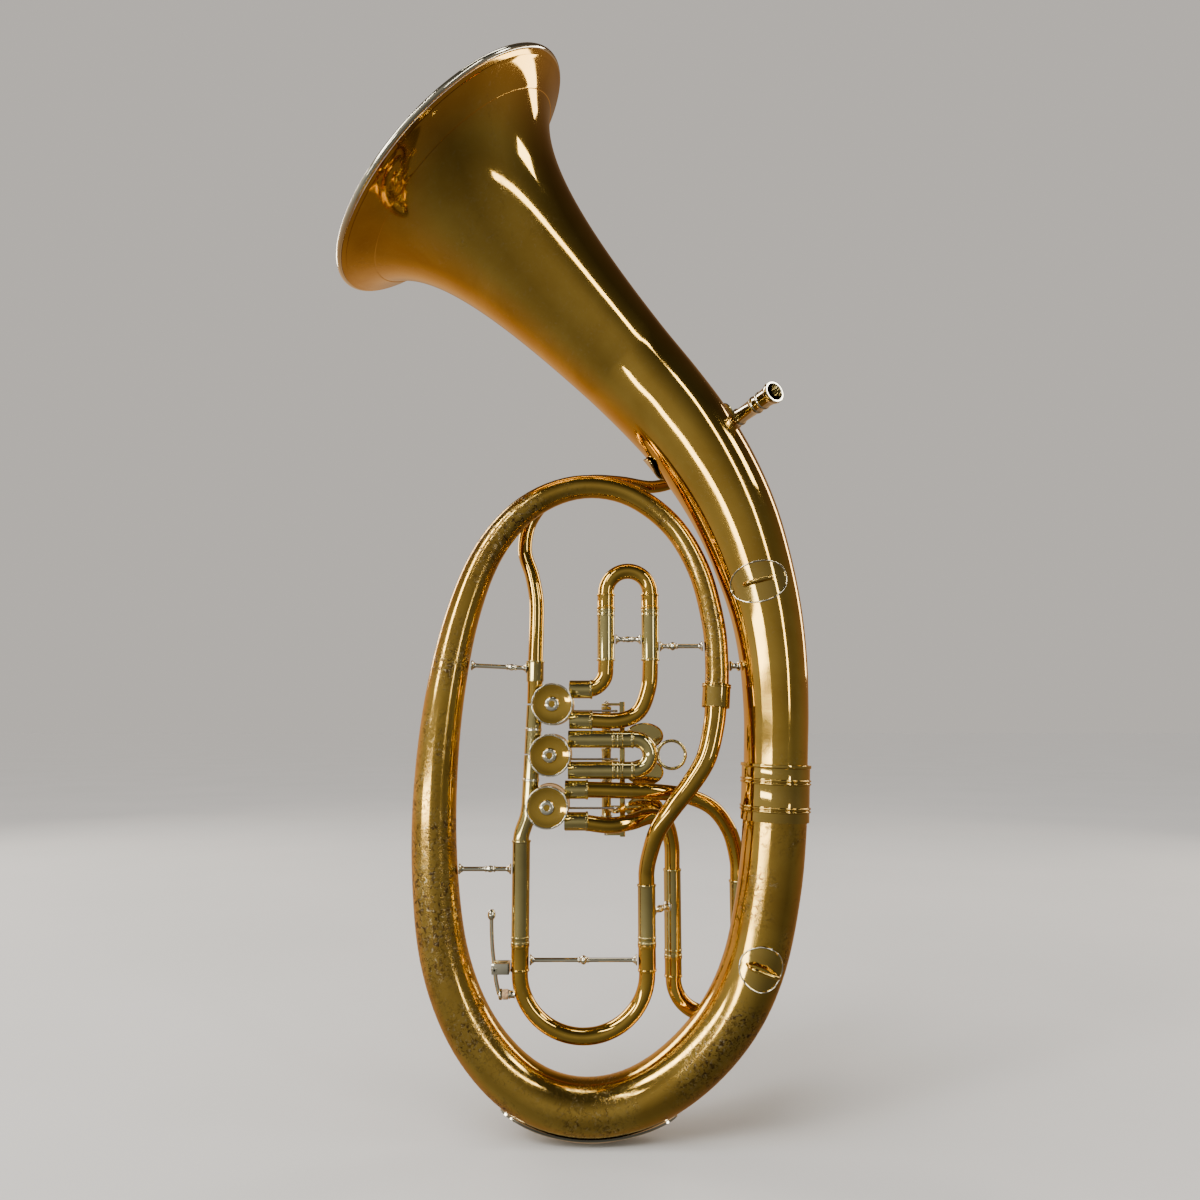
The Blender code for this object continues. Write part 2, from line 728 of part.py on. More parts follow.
def u_slide(name, first, second, out, reach, ferrule, finish=BRASS, bulge=1.0):
    """A slide crook: two inner legs, two ferrules and a half-round bend.

    first and second are the shoulders where the legs enter the sleeves, out is the
    direction in which the slide is drawn, reach is the length of the inner legs and
    bulge is the depth of the bend as a share of a half circle's.
    """
    first = Vector(first)
    second = Vector(second)
    out = Vector(out)
    across = (second - first).normalized()
    bend_radius = (second - first).length / 2.0
    gap = out * CLEARANCE
    level = out * ferrule
    leg = [(first - out * reach, TUBE_RADIUS), (first + gap, TUBE_RADIUS)]
    collar = [(first + gap * 1.5, SLEEVE_RADIUS), (first + level, SLEEVE_RADIUS)]
    middle = (first + second) / 2.0 + level * 1.06
    bend = [(point, TUBE_RADIUS) for point in arc(middle, out, across, bend_radius, 8, bulge)]
    shift = second - first
    back = [(point + shift, radius) for point, radius in reversed(leg + collar)]
    rows = leg + collar + bend + back
    return tube(
        name, [row[0] for row in rows], [row[1] for row in rows], TUBE_WALL, finish,
        origin=first,
    )


def sleeved_tube(name, rows, sleeve_start, sleeve_end, casing):
    """A bent tube from a casing that ends in the outer sleeve of a slide leg."""
    points = [(point.to_3d(), point[3]) for point in smooth(rows, 1)]
    points += [(Vector(sleeve_start), SLEEVE_RADIUS), (Vector(sleeve_end), SLEEVE_RADIUS)]
    centres = [point[0] for point in points]
    made = tube(name, centres, [point[1] for point in points], SLEEVE_WALL, BRASS)
    return cut(made, casing_cutter(casing))


def build_first_slide():
    """First valve slide: it is drawn upward."""
    centre = valve_centre(0)
    sleeve_foot = 265.6
    entry = [
        (centre.x + 3.0, 0.0, centre.z + PORT_OFFSET, TUBE_RADIUS),
        (centre.x + 15.0, 0.0, centre.z + PORT_OFFSET, TUBE_RADIUS),
        (centre.x + 24.0, 0.0, centre.z + PORT_OFFSET + 0.8, TUBE_RADIUS),
        (centre.x + 29.8, 0.0, centre.z + PORT_OFFSET + 6.6, TUBE_RADIUS),
        (FIRST_LEFT_X, 0.0, sleeve_foot - 1.2, TUBE_RADIUS),
    ]
    leave = [
        (centre.x + 3.0, 0.0, centre.z - PORT_OFFSET, TUBE_RADIUS),
        (centre.x + 20.0, 0.0, centre.z - PORT_OFFSET, TUBE_RADIUS),
        (centre.x + 38.0, 0.0, centre.z - PORT_OFFSET - 0.3, TUBE_RADIUS),
        (centre.x + 50.0, 0.0, centre.z - 4.0, TUBE_RADIUS),
        (centre.x + 55.8, 0.0, centre.z + 10.0, TUBE_RADIUS),
        (FIRST_RIGHT_X, 0.0, sleeve_foot - 1.2, TUBE_RADIUS),
    ]
    shoulders = []
    for name, rows, x in (
        ("first_entry_tube", entry, FIRST_LEFT_X),
        ("first_exit_tube", leave, FIRST_RIGHT_X),
    ):
        shoulder = (x, 0.0, FIRST_SHOULDER_Z)
        sleeved_tube(name, rows, (x, 0.0, sleeve_foot), shoulder, 0)
        shoulders.append(shoulder)
    u_slide("first_slide", shoulders[0], shoulders[1], (0.0, 0.0, 1.0), 28.0, 9.5)
    edge = SLEEVE_RADIUS + CLEARANCE
    baluster(
        "first_slide_brace", (FIRST_LEFT_X + edge, 0.0, 278.3),
        (FIRST_RIGHT_X - edge, 0.0, 278.3), bead=1.9,
    )
    baluster(
        "first_bow_brace", (FIRST_RIGHT_X + edge, 0.0, 274.2), (60.4, -1.6, 274.2), bead_at=0.3,
    )


def build_second_slide():
    """Second valve slide: it is drawn sideways by its ring."""
    centre = valve_centre(1)
    levels = (centre.z + PORT_OFFSET, centre.z - PORT_OFFSET)
    for name, level in zip(("second_entry_tube", "second_exit_tube"), levels):
        start = (centre.x + 3.0, 0.0, level)
        end = (SECOND_SHOULDER_X, 0.0, level)
        pipe = straight_tube(name, start, end, SLEEVE_RADIUS, TUBE_WALL, NICKEL)
        cut(pipe, casing_cutter(1))
    shoulders = [(SECOND_SHOULDER_X, 0.0, level) for level in levels]
    crook = u_slide("second_slide", shoulders[0], shoulders[1], (1.0, 0.0, 0.0), 18.0, 8.5, NICKEL)
    bend_end = SECOND_SHOULDER_X + 9.0 + PORT_OFFSET + TUBE_RADIUS
    ring_centre = Vector((bend_end + 7.9, 1.0, centre.z))
    wire = [
        (8.0 + 0.95 * math.cos(angle), 0.95 * math.sin(angle))
        for angle in (math.radians(60.0 * corner) for corner in range(6))
    ]
    ring = turned("ring", wire, ring_centre, (0.0, 1.0, 0.0), NICKEL, 16)
    fuse(crook, ring)


def build_third_slide():
    """Third valve slide: it hangs behind the bow and is drawn downward."""
    centre = valve_centre(2)
    upper = centre.z + PORT_OFFSET
    entry = [
        (centre.x + 3.0, 0.0, upper, TUBE_RADIUS),
        (-5.0, 0.0, upper, TUBE_RADIUS),
        (14.0, 0.5, upper - 0.6, TUBE_RADIUS),
        (34.0, 4.0, upper - 1.6, TUBE_RADIUS),
        (52.0, 9.5, upper - 4.6, TUBE_RADIUS),
        (67.0, 15.0, upper - 12.0, TUBE_RADIUS),
        (77.0, 20.5, upper - 25.5, TUBE_RADIUS),
        (81.6, 23.6, upper - 42.0, TUBE_RADIUS),
        (THIRD_RIGHT_X, THIRD_Y, upper - 53.0, TUBE_RADIUS),
    ]
    lower = centre.z - PORT_OFFSET
    leave = [
        (centre.x + 3.0, 0.0, lower, TUBE_RADIUS),
        (-10.0, 0.0, lower - 0.6, TUBE_RADIUS),
        (5.0, 1.2, lower - 2.4, TUBE_RADIUS),
        (18.0, 5.4, lower - 1.0, TUBE_RADIUS),
        (29.5, 11.5, lower + 1.6, TUBE_RADIUS),
        (38.5, 17.5, lower - 2.0, TUBE_RADIUS),
        (42.6, 22.4, lower - 15.0, TUBE_RADIUS),
        (THIRD_LEFT_X, THIRD_Y, lower - 28.7, TUBE_RADIUS),
    ]
    shoulders = []
    for name, rows, x in (
        ("third_exit_tube", leave, THIRD_LEFT_X),
        ("third_entry_tube", entry, THIRD_RIGHT_X),
    ):
        shoulder = (x, THIRD_Y, THIRD_SHOULDER_Z)
        sleeved_tube(name, rows, (x, THIRD_Y, rows[-1][2] - 1.2), shoulder, 2)
        shoulders.append(shoulder)
    u_slide("third_slide", shoulders[0], shoulders[1], (0.0, 0.0, -1.0), 36.0, 12.0)


def build_tuning_slide():
    """Main tuning slide with its brace and water key: it is drawn downward."""
    shoulders = []
    for side, x, top in (("left", TUNING_LEFT_X, 163.0), ("right", TUNING_RIGHT_X, 138.6)):
        shoulder = (x, 0.0, TUNING_SHOULDER_Z)
        name = f"tuning_outer_sleeve_{side}"
        straight_tube(name, (x, 0.0, top), shoulder, SLEEVE_RADIUS, SLEEVE_WALL, NICKEL)
        shoulders.append(shoulder)
    slide = u_slide(
        "tuning_slide", shoulders[0], shoulders[1], (0.0, 0.0, -1.0), 24.0, 15.0, bulge=0.94,
    )
    nipple_end = (NIPPLE_X, 0.0, WATER_KEY_CORK_Z)
    fuse(slide, rod("nipple", nipple_end, (NIPPLE_X + 3.6, 0.0, WATER_KEY_CORK_Z), 2.4, BRASS, 12))
    edge = SLEEVE_RADIUS + CLEARANCE
    baluster(
        "tuning_slide_brace",
        (TUNING_LEFT_X + edge, 0.0, 97.4), (TUNING_RIGHT_X - edge, 0.0, 97.4), radius=1.2,
    )


def build_water_key():
    """Water key lever, its saddle, and the cork that closes the nipple."""
    axis = WATER_KEY_AXIS
    near = TUNING_LEFT_X - SLEEVE_RADIUS - CLEARANCE
    cheeks = []
    for side in (-1.0, 1.0):
        outer = side * 4.4
        inner = side * 3.2
        low = (axis.x - 1.8, min(outer, inner), axis.z - 2.6)
        high = (near, max(outer, inner), axis.z + 3.4)
        cheeks.append(box("cheek", low, high, NICKEL, axis))
    low = (near - 1.4, -3.9, axis.z - 2.3)
    saddle = box("water_key_saddle", low, (near - 0.2, 3.9, axis.z + 3.1), NICKEL, axis)
    reach = Vector((0.0, 5.0, 0.0))
    pin = rod("pin", axis - reach, axis + reach, 0.9, STEEL, 8, axis)
    fuse(saddle, cheeks[0], cheeks[1], pin)
    side = Vector((0.0, 2.8, 0.0))
    barrel = rod("water_key", axis - side, axis + side, 2.2, NICKEL, 12, axis)
    upper = rod("upper", axis, (-61.4, 0.0, 121.0), 1.2, NICKEL, 8)
    knob = rod("knob", (-61.6, 0.0, 119.0), (-61.4, 0.0, 125.0), 2.3, NICKEL, 10)
    cup_x = NIPPLE_X - CLEARANCE - WATER_KEY_CORK_DEPTH - CLEARANCE
    cup_end = Vector((cup_x, 0.0, WATER_KEY_CORK_Z))
    along = Vector((1.0, 0.0, 0.0))
    lower = rod("lower", axis, cup_end - along * 1.5, 1.2, NICKEL, 8)
    cup = rod("cup", cup_end - along * 2.0, cup_end, 3.0, NICKEL, 12)
    key = fuse(barrel, upper, knob, lower, cup)
    hole = rod("hole", axis - reach, axis + reach, 1.25, NICKEL, 8)
    cut(key, hole)
    cork_end = cup_end + along * CLEARANCE
    rod("water_key_cork", cork_end, cork_end + along * WATER_KEY_CORK_DEPTH, 2.8, CORK, 12)


# ---------------------------------------------------------------- lever action

def hinge_level(index):
    """Height of the middle of one lever's hinge tube."""
    return RACK_TOP_Z - RACK_PITCH * (index + 0.5)


def stop_pin_rest(index):
    """Where a stop arm's pin stands at rest."""
    reach = STOP_PIN_REACH * math.sin(ROTOR_TURN / 2.0)
    return valve_centre(index) + Vector((reach, STOP_PIN_END, -reach))


def lever_tip(index):
    """Where a lever's short arm ends at rest."""
    half = LEVER_SWING / 2.0
    return Vector((
        HINGE_X + LEVER_ARM * math.sin(half),
        HINGE_Y - LEVER_ARM * math.cos(half),
        stop_pin_rest(index).z,
    ))


def build_lever(index):
    """A lever: hinge tube, paddle arm with its paddle, and the short arm to the link."""
    hinge = Vector((HINGE_X, HINGE_Y, hinge_level(index)))
    level = PADDLE_TOP_Z - PADDLE_PITCH * index
    half = LEVER_TUBE_LENGTH / 2.0
    upward = (0.0, 0.0, 1.0)
    profile = ring_profile(1.9, 3.2, -half, half)
    barrel = turned(f"lever_{index + 1}", profile, hinge, upward, NICKEL, 12, hinge)
    arm = box(
        "arm", (HINGE_X + 2.3, HINGE_Y - 0.9, level - 2.2),
        (PADDLE_CENTRE_X, HINGE_Y + 0.9, level + 2.2), NICKEL,
    )
    paddle = rod(
        "paddle", (0.0, -0.9, 0.0), (0.0, 0.9, 0.0), PADDLE_WIDTH / 2.0, NICKEL, 20, (0.0, 0.0, 0.0),
    )
    paddle.scale = (PADDLE_LENGTH / PADDLE_WIDTH, 1.0, 1.0)
    paddle.location = Vector((PADDLE_CENTRE_X, HINGE_Y + 1.0, level)) * MM
    tip = lever_tip(index)
    root = Vector((HINGE_X, HINGE_Y, tip.z))
    short = rod("short", root + (tip - root).normalized() * 2.4, tip, 1.1, NICKEL, 8)
    rise = Vector((0.0, 0.0, 1.0))
    eye = rod("eye", tip - rise, tip + rise, 2.0, NICKEL, 10)
    fuse(barrel, arm, paddle, short, eye)


def build_link(index):
    """The flat link between a lever's short arm and its stop arm."""
    tip = lever_tip(index)
    pin = stop_pin_rest(index)
    name = f"link_{index + 1}"
    low = tip.z + 1.3
    high = low + 1.5
    bar = box(name, (pin.x, tip.y - 1.1, low), (tip.x, tip.y + 1.1, high), STEEL, tip)
    ends = [
        rod("end", (x, tip.y, low), (x, tip.y, high), 1.5, STEEL, 10)
        for x in (pin.x, tip.x)
    ]
    fuse(bar, *ends)


def build_lever_rack():
    """The rack that carries the hinge rod, and the rod itself."""
    top = RACK_TOP_Z
    posts = []
    bar_x = 13.6
    bar_y = 29.0
    for index in range(VALVE_COUNT + 1):
        level = top - RACK_PITCH * index
        arm = box(
            "post", (HINGE_X - 3.0, bar_y - 1.2, level - 0.7),
            (bar_x + 1.3, HINGE_Y + 3.0, level + 0.7), NICKEL,
        )
        posts.append(arm)
    bottom = top - RACK_PITCH * VALVE_COUNT
    rack = box(
        "lever_rack", (bar_x - 1.6, bar_y - 1.5, bottom - 1.5), (bar_x + 1.6, bar_y + 1.5, top + 1.5),
        NICKEL,
    )
    rack = fuse(rack, *posts)
    struts = [
        rod("strut", (bar_x, bar_y, level), (bar_x, TUBE_RADIUS + 1.0, level), 1.6, NICKEL, 10)
        for level in (valve_centre(0).z - PORT_OFFSET, valve_centre(2).z + PORT_OFFSET)
    ]
    rack = fuse(rack, *struts)
    hole = rod(
        "hole", (HINGE_X, HINGE_Y, bottom - 5.0), (HINGE_X, HINGE_Y, top + 5.0), 1.8, NICKEL, 12,
    )
    cut(rack, hole)
    rod(
        "hinge_rod", (HINGE_X, HINGE_Y, bottom - 2.5), (HINGE_X, HINGE_Y, top + 2.5),
        1.45, STEEL, 12,
    )


# ---------------------------------------------------------------- fittings

def strap_arch(centre, side, front, tube_radius, half_width=8.0, height=8.2):
    """A wire arch for a carrying hook, its feet on the curved strap plate."""
    drop = tube_radius - math.sqrt(tube_radius ** 2 - half_width ** 2)
    corners = [
        -half_width * side - front * drop,
        -half_width * side + front * height * 0.7,
        -half_width * side * 0.7 + front * height,
        half_width * side * 0.7 + front * height,
        half_width * side + front * height * 0.7,
        half_width * side - front * drop,
    ]
    points = [centre + corner for corner in corners]
    return tube("arch", points, [1.1] * len(points), 0.0, NICKEL, 6)


def build_strap_fittings():
    """Two oval plates on the tubing, each with an arch for a hook."""
    bell_route = [(*BELL_FLARE_END, 31.4)] + BELL_TAIL
    places = (
        ("upper_strap_plate", along_route(bell_route, 5), 12.0,
         (math.radians(46.0), 12.0, math.radians(12.0))),
        ("lower_strap_plate", along_route(BOW_ROUTE, 3), 0.0,
         (math.radians(40.0), 12.0, math.radians(-3.0))),
    )
    for name, section, shift, outline in places:
        def shifted(distance, section=section, shift=shift):
            return section(distance + shift)
        plate = wrapped_plate(name, shifted, outline, 0.8, 0.5, NICKEL, rings=3, sides=20)
        centre, side, front, radius = shifted(0.0)
        angle = outline[2]
        out = math.sin(angle) * side + math.cos(angle) * front
        around = math.cos(angle) * side - math.sin(angle) * front
        foot = centre + out * (radius + 0.9)
        fuse(plate, strap_arch(foot, around, out, radius))


def build_braces():
    """Turned braces that hold the tubing together."""
    baluster("leadpipe_brace", (-75.6, 0.0, 263.0), (-42.8, 0.0, 261.4), bead_at=0.72, bead=2.0)
    baluster("tuning_sleeve_brace", (-80.4, 0.0, 147.0), (-50.7, 0.0, 147.0), bead_at=0.6, bead=2.0)
    start = Vector((75.9, -2.2, 262.5))
    end = Vector((81.7, -1.2, 262.5))
    length = (end - start).length
    profile = [
        (0.0, 0.0), (3.0, 0.0), (3.0, 0.8), (1.6, 1.8), (1.6, length - 1.8),
        (3.0, length - 0.8), (3.0, length), (0.0, length),
    ]
    turned("bell_bow_brace", profile, start, end - start, NICKEL, sides=12)
    first = Vector((TUNING_RIGHT_X, 0.0, THIRD_BRACE_Z))
    second = Vector((THIRD_LEFT_X, THIRD_Y, THIRD_BRACE_Z))
    edge = (second - first).normalized() * (SLEEVE_RADIUS + CLEARANCE)
    baluster("third_slide_brace", first + edge, second - edge, bead=2.2)


def main():
    """Build every piece, then put the origin under the middle of the horn."""
    build_bell()
    build_bow()
    build_valve_passages()
    for index in range(VALVE_COUNT):
        build_casing(index)
        build_cap(index)
        build_rotor(index)
        build_bearing_plate(index)
        build_stop_arm(index)
        build_lever(index)
        build_link(index)
    build_leadpipe()
    build_first_slide()
    build_second_slide()
    build_third_slide()
    build_tuning_slide()
    build_water_key()
    build_lever_rack()
    build_strap_fittings()
    build_braces()
    for made in PARTS.objects:
        made.location += FRAME_SHIFT * MM


clear_scene()
PARTS = new_collection(OBJECT_NAME)
main()
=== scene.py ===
"""Looks of the oval rotary alto horn: fine tubing, worn lacquer, nickel silver, studio and camera.

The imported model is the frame.  Its faceted pieces are replaced by fine ones on the same
routes, and small fittings that carry no load are added.  Lengths are millimetres in the
design frame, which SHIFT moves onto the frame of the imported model.
"""

import math
import json

import bmesh
import bpy
from mathutils import Matrix, Vector


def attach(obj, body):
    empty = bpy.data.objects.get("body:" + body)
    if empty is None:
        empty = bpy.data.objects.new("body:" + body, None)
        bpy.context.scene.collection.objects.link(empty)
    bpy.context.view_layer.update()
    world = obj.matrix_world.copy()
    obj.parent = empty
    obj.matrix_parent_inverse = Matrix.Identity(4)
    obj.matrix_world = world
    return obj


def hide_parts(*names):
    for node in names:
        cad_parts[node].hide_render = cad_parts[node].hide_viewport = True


MM = 0.001

# Directions as the camera sees them, and the way from the design frame to the model's.
RIGHT = Vector((1.0, 0.0, 0.0))
BACK = Vector((0.0, 1.0, 0.0))
UP = Vector((0.0, 0.0, 1.0))
SHIFT = Vector((17.449, 22.289, -2.706))

# Camera and studio.
CAMERA_PLACE = (0.0, -530.0, 227.33)
CAMERA_PITCH_UP = math.radians(8.0)
CAMERA_LENS = 27.03
FLOOR_SIZE = 60.0
SOFTBOXES = (
    # place in metres, width, height, power in watts, colour
    ((-1.35, -1.0, 1.15), 0.36, 1.3, 24.0, (1.0, 0.97, 0.92)),
    ((-0.75, -1.7, 1.5), 0.12, 0.9, 5.0, (1.0, 0.97, 0.92)),
    ((1.15, -1.35, 0.9), 0.16, 1.5, 9.0, (1.0, 0.96, 0.90)),
    ((-1.2, 1.1, 1.1), 0.40, 1.2, 16.0, (1.0, 0.92, 0.82)),
    ((1.3, 0.9, 0.9), 0.25, 1.2, 9.0, (1.0, 0.88, 0.74)),
    ((0.0, -0.3, 2.6), 1.2, 0.3, 8.0, (1.0, 0.98, 0.95)),
    ((-0.9, -1.1, 0.12), 1.0, 0.12, 5.0, (1.0, 0.97, 0.92)),
    # The mouth of the receiver mirrors this one.
    ((1.337, -0.333, 1.232), 0.30, 0.30, 3.5, (1.0, 0.98, 0.95)),
)
SUN_STRENGTH = 3.9
SUN_SPREAD = math.radians(50.0)
SUN_PLACE = (-0.9, -0.7, 2.2)
BACKDROP_TONE = (0.583, 0.545, 0.503, 1.0)
# What the metal mirrors: a neutral room in front, a warm one behind, brighter to the
# left and darker above, below and to the right.
ROOM_FRONT = (0.90, 0.88, 0.80, 1.0)
ROOM_BACK = (1.0, 0.62, 0.34, 1.0)
ROOM_ACROSS = (0.60, 0.20)
ROOM_DEPTH = (0.90, 1.6)
ROOM_ABOVE = (1.0, 0.18)
ROOM_BELOW = (0.5, 1.0)

# Where the lacquer has flaked off.
BARE_METAL = (0.80, 0.66, 0.38, 1.0)

# Bell: the tail's rows are x, y, z and outer radius.  The tail's curve starts LEAD_IN
# before the end of the flare, so that the two meet without a kink.
BELL_RIM_CENTRE = Vector((-89.0, -22.0, 557.0))
BELL_FLARE_END = Vector((15.8, 0.0, 448.9))
BELL_RIM_RADIUS = 89.1
BELL_FLARE_SCALE = 15.0
BELL_FLARE_POWER = 0.431
BELL_WALL = 0.7
LEAD_IN = 30.0
BELL_TAIL = [
    (37.5, 0.5, 424.2, 29.6),
    (55.0, 0.2, 401.5, 28.1),
    (70.5, 0.0, 376.0, 26.5),
    (82.7, 0.0, 349.8, 24.8),
    (91.8, 0.0, 322.0, 22.8),
    (98.4, 0.0, 294.0, 20.9),
    (101.9, 0.0, 265.0, 19.6),
    (102.7, 0.0, 236.0, 18.7),
    (101.9, 0.0, 212.0, 18.3),
    (101.1, 0.0, 190.3, 18.2),
]
RIM_WIRE_RADIUS = 1.7
GARLAND_DEPTHS = (1.2, 9.5)

# Bow, branch and leadpipe: x, y, z and outer radius.
BOW_ROUTE = [
    (101.0, 0.0, 189.7, 18.2),
    (99.8, 0.0, 168.0, 18.2),
    (96.0, 0.0, 136.0, 18.0),
    (87.0, 0.0, 97.0, 17.6),
    (72.0, 0.0, 66.5, 17.1),
    (49.0, 0.0, 41.5, 16.4),
    (22.0, 0.0, 25.0, 15.7),
    (-6.0, 0.0, 19.4, 15.4),
    (-33.0, 0.0, 25.0, 15.0),
    (-56.0, 0.0, 41.0, 14.6),
    (-75.0, 0.0, 66.5, 14.1),
    (-88.0, 0.0, 101.0, 13.6),
    (-94.0, 0.0, 145.0, 13.0),
    (-95.0, 0.0, 192.0, 12.4),
    (-91.0, 0.0, 243.0, 11.4),
    (-81.5, 0.0, 292.0, 10.0),
    (-66.5, 0.0, 331.0, 8.9),
    (-44.0, 0.0, 357.5, 8.0),
    (-15.0, 0.0, 370.3, 7.2),
    (15.0, 0.0, 367.2, 6.8),
    (41.5, 0.0, 348.8, 6.7),
    (58.5, -0.3, 321.0, 6.7),
    (66.8, -1.5, 288.0, 6.8),
    (68.4, -2.6, 262.0, 6.9),
    (67.6, -3.2, 245.3, 7.0),
]
BRANCH_ROUTE = [
    (67.5, -3.3, 244.7, 6.5),
    (65.9, -5.0, 229.0, 6.2),
    (60.6, -8.0, 209.5, 5.9),
    (51.0, -10.0, 194.5, 5.6),
    (41.0, -10.4, 182.0, 5.3),
    (32.5, -8.0, 169.0, 5.0),
    (28.0, -4.0, 155.0, 4.7),
    (26.5, -0.9, 146.0, 4.6),
    (26.5, 0.0, 138.9, 4.6),
]
LEADPIPE_ROUTE = [
    (83.0, 17.1, 417.3, 3.9),
    (79.3, 23.8, 416.2, 3.9),
    (73.5, 31.5, 411.5, 3.9),
    (65.0, 36.3, 402.0, 3.9),
    (52.0, 37.0, 387.0, 4.0),
    (34.0, 32.0, 379.5, 4.0),
    (12.0, 25.0, 380.5, 4.1),
    (-10.0, 20.5, 379.5, 4.1),
    (-30.0, 17.5, 370.0, 4.2),
    (-43.0, 16.0, 353.0, 4.2),
    (-46.0, 13.0, 334.0, 4.3),
    (-41.0, 9.0, 317.5, 4.3),
    (-38.0, 5.5, 301.0, 4.4),
    (-37.8, 2.0, 280.0, 4.4),
    (-38.0, 0.0, 262.0, 4.4),
    (-38.2, 0.0, 240.6, 4.4),
]
RECEIVER_START = Vector((81.4, 20.0, 416.8))
RECEIVER_END = Vector((103.3, -20.0, 423.4))
LEADPIPE_FERRULE_FOOT = (-38.05, 0.0, 253.5)

# Valves and slides.
VALVE_COUNT = 3
VALVE_TOP = Vector((-27.3, 0.0, 240.0))
VALVE_STEP = Vector((-1.2, 0.0, -28.8))
CASING_RADIUS = 12.0
CASING_BORE = 10.4
CASING_HALF_LENGTH = 12.0
CLEARANCE = 0.3
PORT_OFFSET = 8.9
KNUCKLE_OFFSET = 10.9
TUBE_RADIUS = 4.6
TUBE_WALL = 0.5
SLEEVE_RADIUS = 5.3
TUNING_LEFT_X = -45.0
TUNING_RIGHT_X = 26.5
TUNING_SHOULDER_Z = 106.2
TUNING_LEFT_FOOT_Z = 163.0
TUNING_RIGHT_FOOT_Z = 138.6
TUNING_BRACE_Z = 97.4
FIRST_LEFT_X = 3.5
FIRST_RIGHT_X = 29.6
FIRST_SHOULDER_Z = 296.0
FIRST_FOOT_Z = 265.6
FIRST_BRACE_Z = 278.3
FIRST_STAY_Z = 274.2
SECOND_SHOULDER_X = 11.2
THIRD_LEFT_X = 43.0
THIRD_RIGHT_X = 82.0
THIRD_Y = 24.0
THIRD_SHOULDER_Z = 94.0
THIRD_BRACE_Z = 122.8

WATER_KEY_AXIS = Vector((-58.8, 0.0, 93.0))
WATER_KEY_CORK_Z = 79.0
WATER_KEY_CORK_DEPTH = 3.2
NIPPLE_X = -51.0

# Lever action.
STOP_PIN_REACH = 7.5
STOP_PIN_END = 18.7
HINGE_X = 4.0
HINGE_Y = 44.0
LEVER_ARM = 24.0
LEVER_SWING = 2.0 * math.asin(STOP_PIN_REACH * math.sin(math.radians(45.0)) / LEVER_ARM)
RACK_TOP_Z = 241.0
RACK_PITCH = 26.0
LEVER_TUBE_LENGTH = 23.8
PADDLE_CENTRE_X = 28.0
PADDLE_TOP_Z = 221.5
PADDLE_PITCH = 22.5
PADDLE_SIZE = (12.0, 8.25)


# ---------------------------------------------------------------- frame

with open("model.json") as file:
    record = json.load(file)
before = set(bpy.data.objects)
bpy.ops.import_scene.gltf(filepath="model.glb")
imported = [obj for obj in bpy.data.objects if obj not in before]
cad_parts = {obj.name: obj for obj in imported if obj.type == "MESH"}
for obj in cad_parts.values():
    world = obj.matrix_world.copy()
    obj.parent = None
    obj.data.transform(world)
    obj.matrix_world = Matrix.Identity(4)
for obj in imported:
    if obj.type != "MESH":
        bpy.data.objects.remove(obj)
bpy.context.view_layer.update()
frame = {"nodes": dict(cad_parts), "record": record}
BODY_OF = {
    node: body
    for body, members in frame["record"]["behaviour"]["bodies"].items()
    for node in members
}


def place(point):
    """A design point in millimetres as a point of the frame, in metres."""
    return (Vector(point) + SHIFT) * MM


# ---------------------------------------------------------------- materials

def node_adder(tree):
    """A helper that adds a node to a tree, sets it up and links its inputs."""
    def add(kind, inputs=None, **settings):
        node = tree.nodes.new(kind)
        for key, value in settings.items():
            setattr(node, key, value)
        for key, value in (inputs or {}).items():
            if isinstance(value, bpy.types.NodeSocket):
                tree.links.new(value, node.inputs[key])
            else:
                node.inputs[key].default_value = value
        return node

    return add


def new_material(name):
    """An empty Principled material and a helper that adds nodes to it."""
    material = bpy.data.materials.new(name)
    material.use_nodes = True
    tree = material.node_tree
    return material, tree, tree.nodes["Principled BSDF"], node_adder(tree)


def noise(add, where, scale, detail=3.0, roughness=0.55, distortion=0.0):
    """A noise pattern over object coordinates, in metres."""
    return add(
        "ShaderNodeTexNoise",
        {"Vector": where, "Scale": scale, "Detail": detail, "Roughness": roughness,
         "Distortion": distortion},
    ).outputs["Fac"]


def ramp(add, factor, low, high, start=0.0, end=1.0):
    """Map a factor between two limits to a range, clamped."""
    return add(
        "ShaderNodeMapRange",
        {"Value": factor, "From Min": low, "From Max": high, "To Min": start, "To Max": end},
    ).outputs["Result"]


def mixed(add, factor, first, second, blend="MIX"):
    """Mix two colours."""
    node = add("ShaderNodeMix", data_type="RGBA", blend_type=blend)
    tree = node.id_data
    for socket, value in ((node.inputs[0], factor), (node.inputs[6], first), (node.inputs[7], second)):
        if isinstance(value, bpy.types.NodeSocket):
            tree.links.new(value, socket)
        else:
            socket.default_value = value
    return node.outputs[2]


def product(add, first, second, operation="MULTIPLY"):
    """Combine two values."""
    return add("ShaderNodeMath", {0: first, 1: second}, operation=operation).outputs[0]


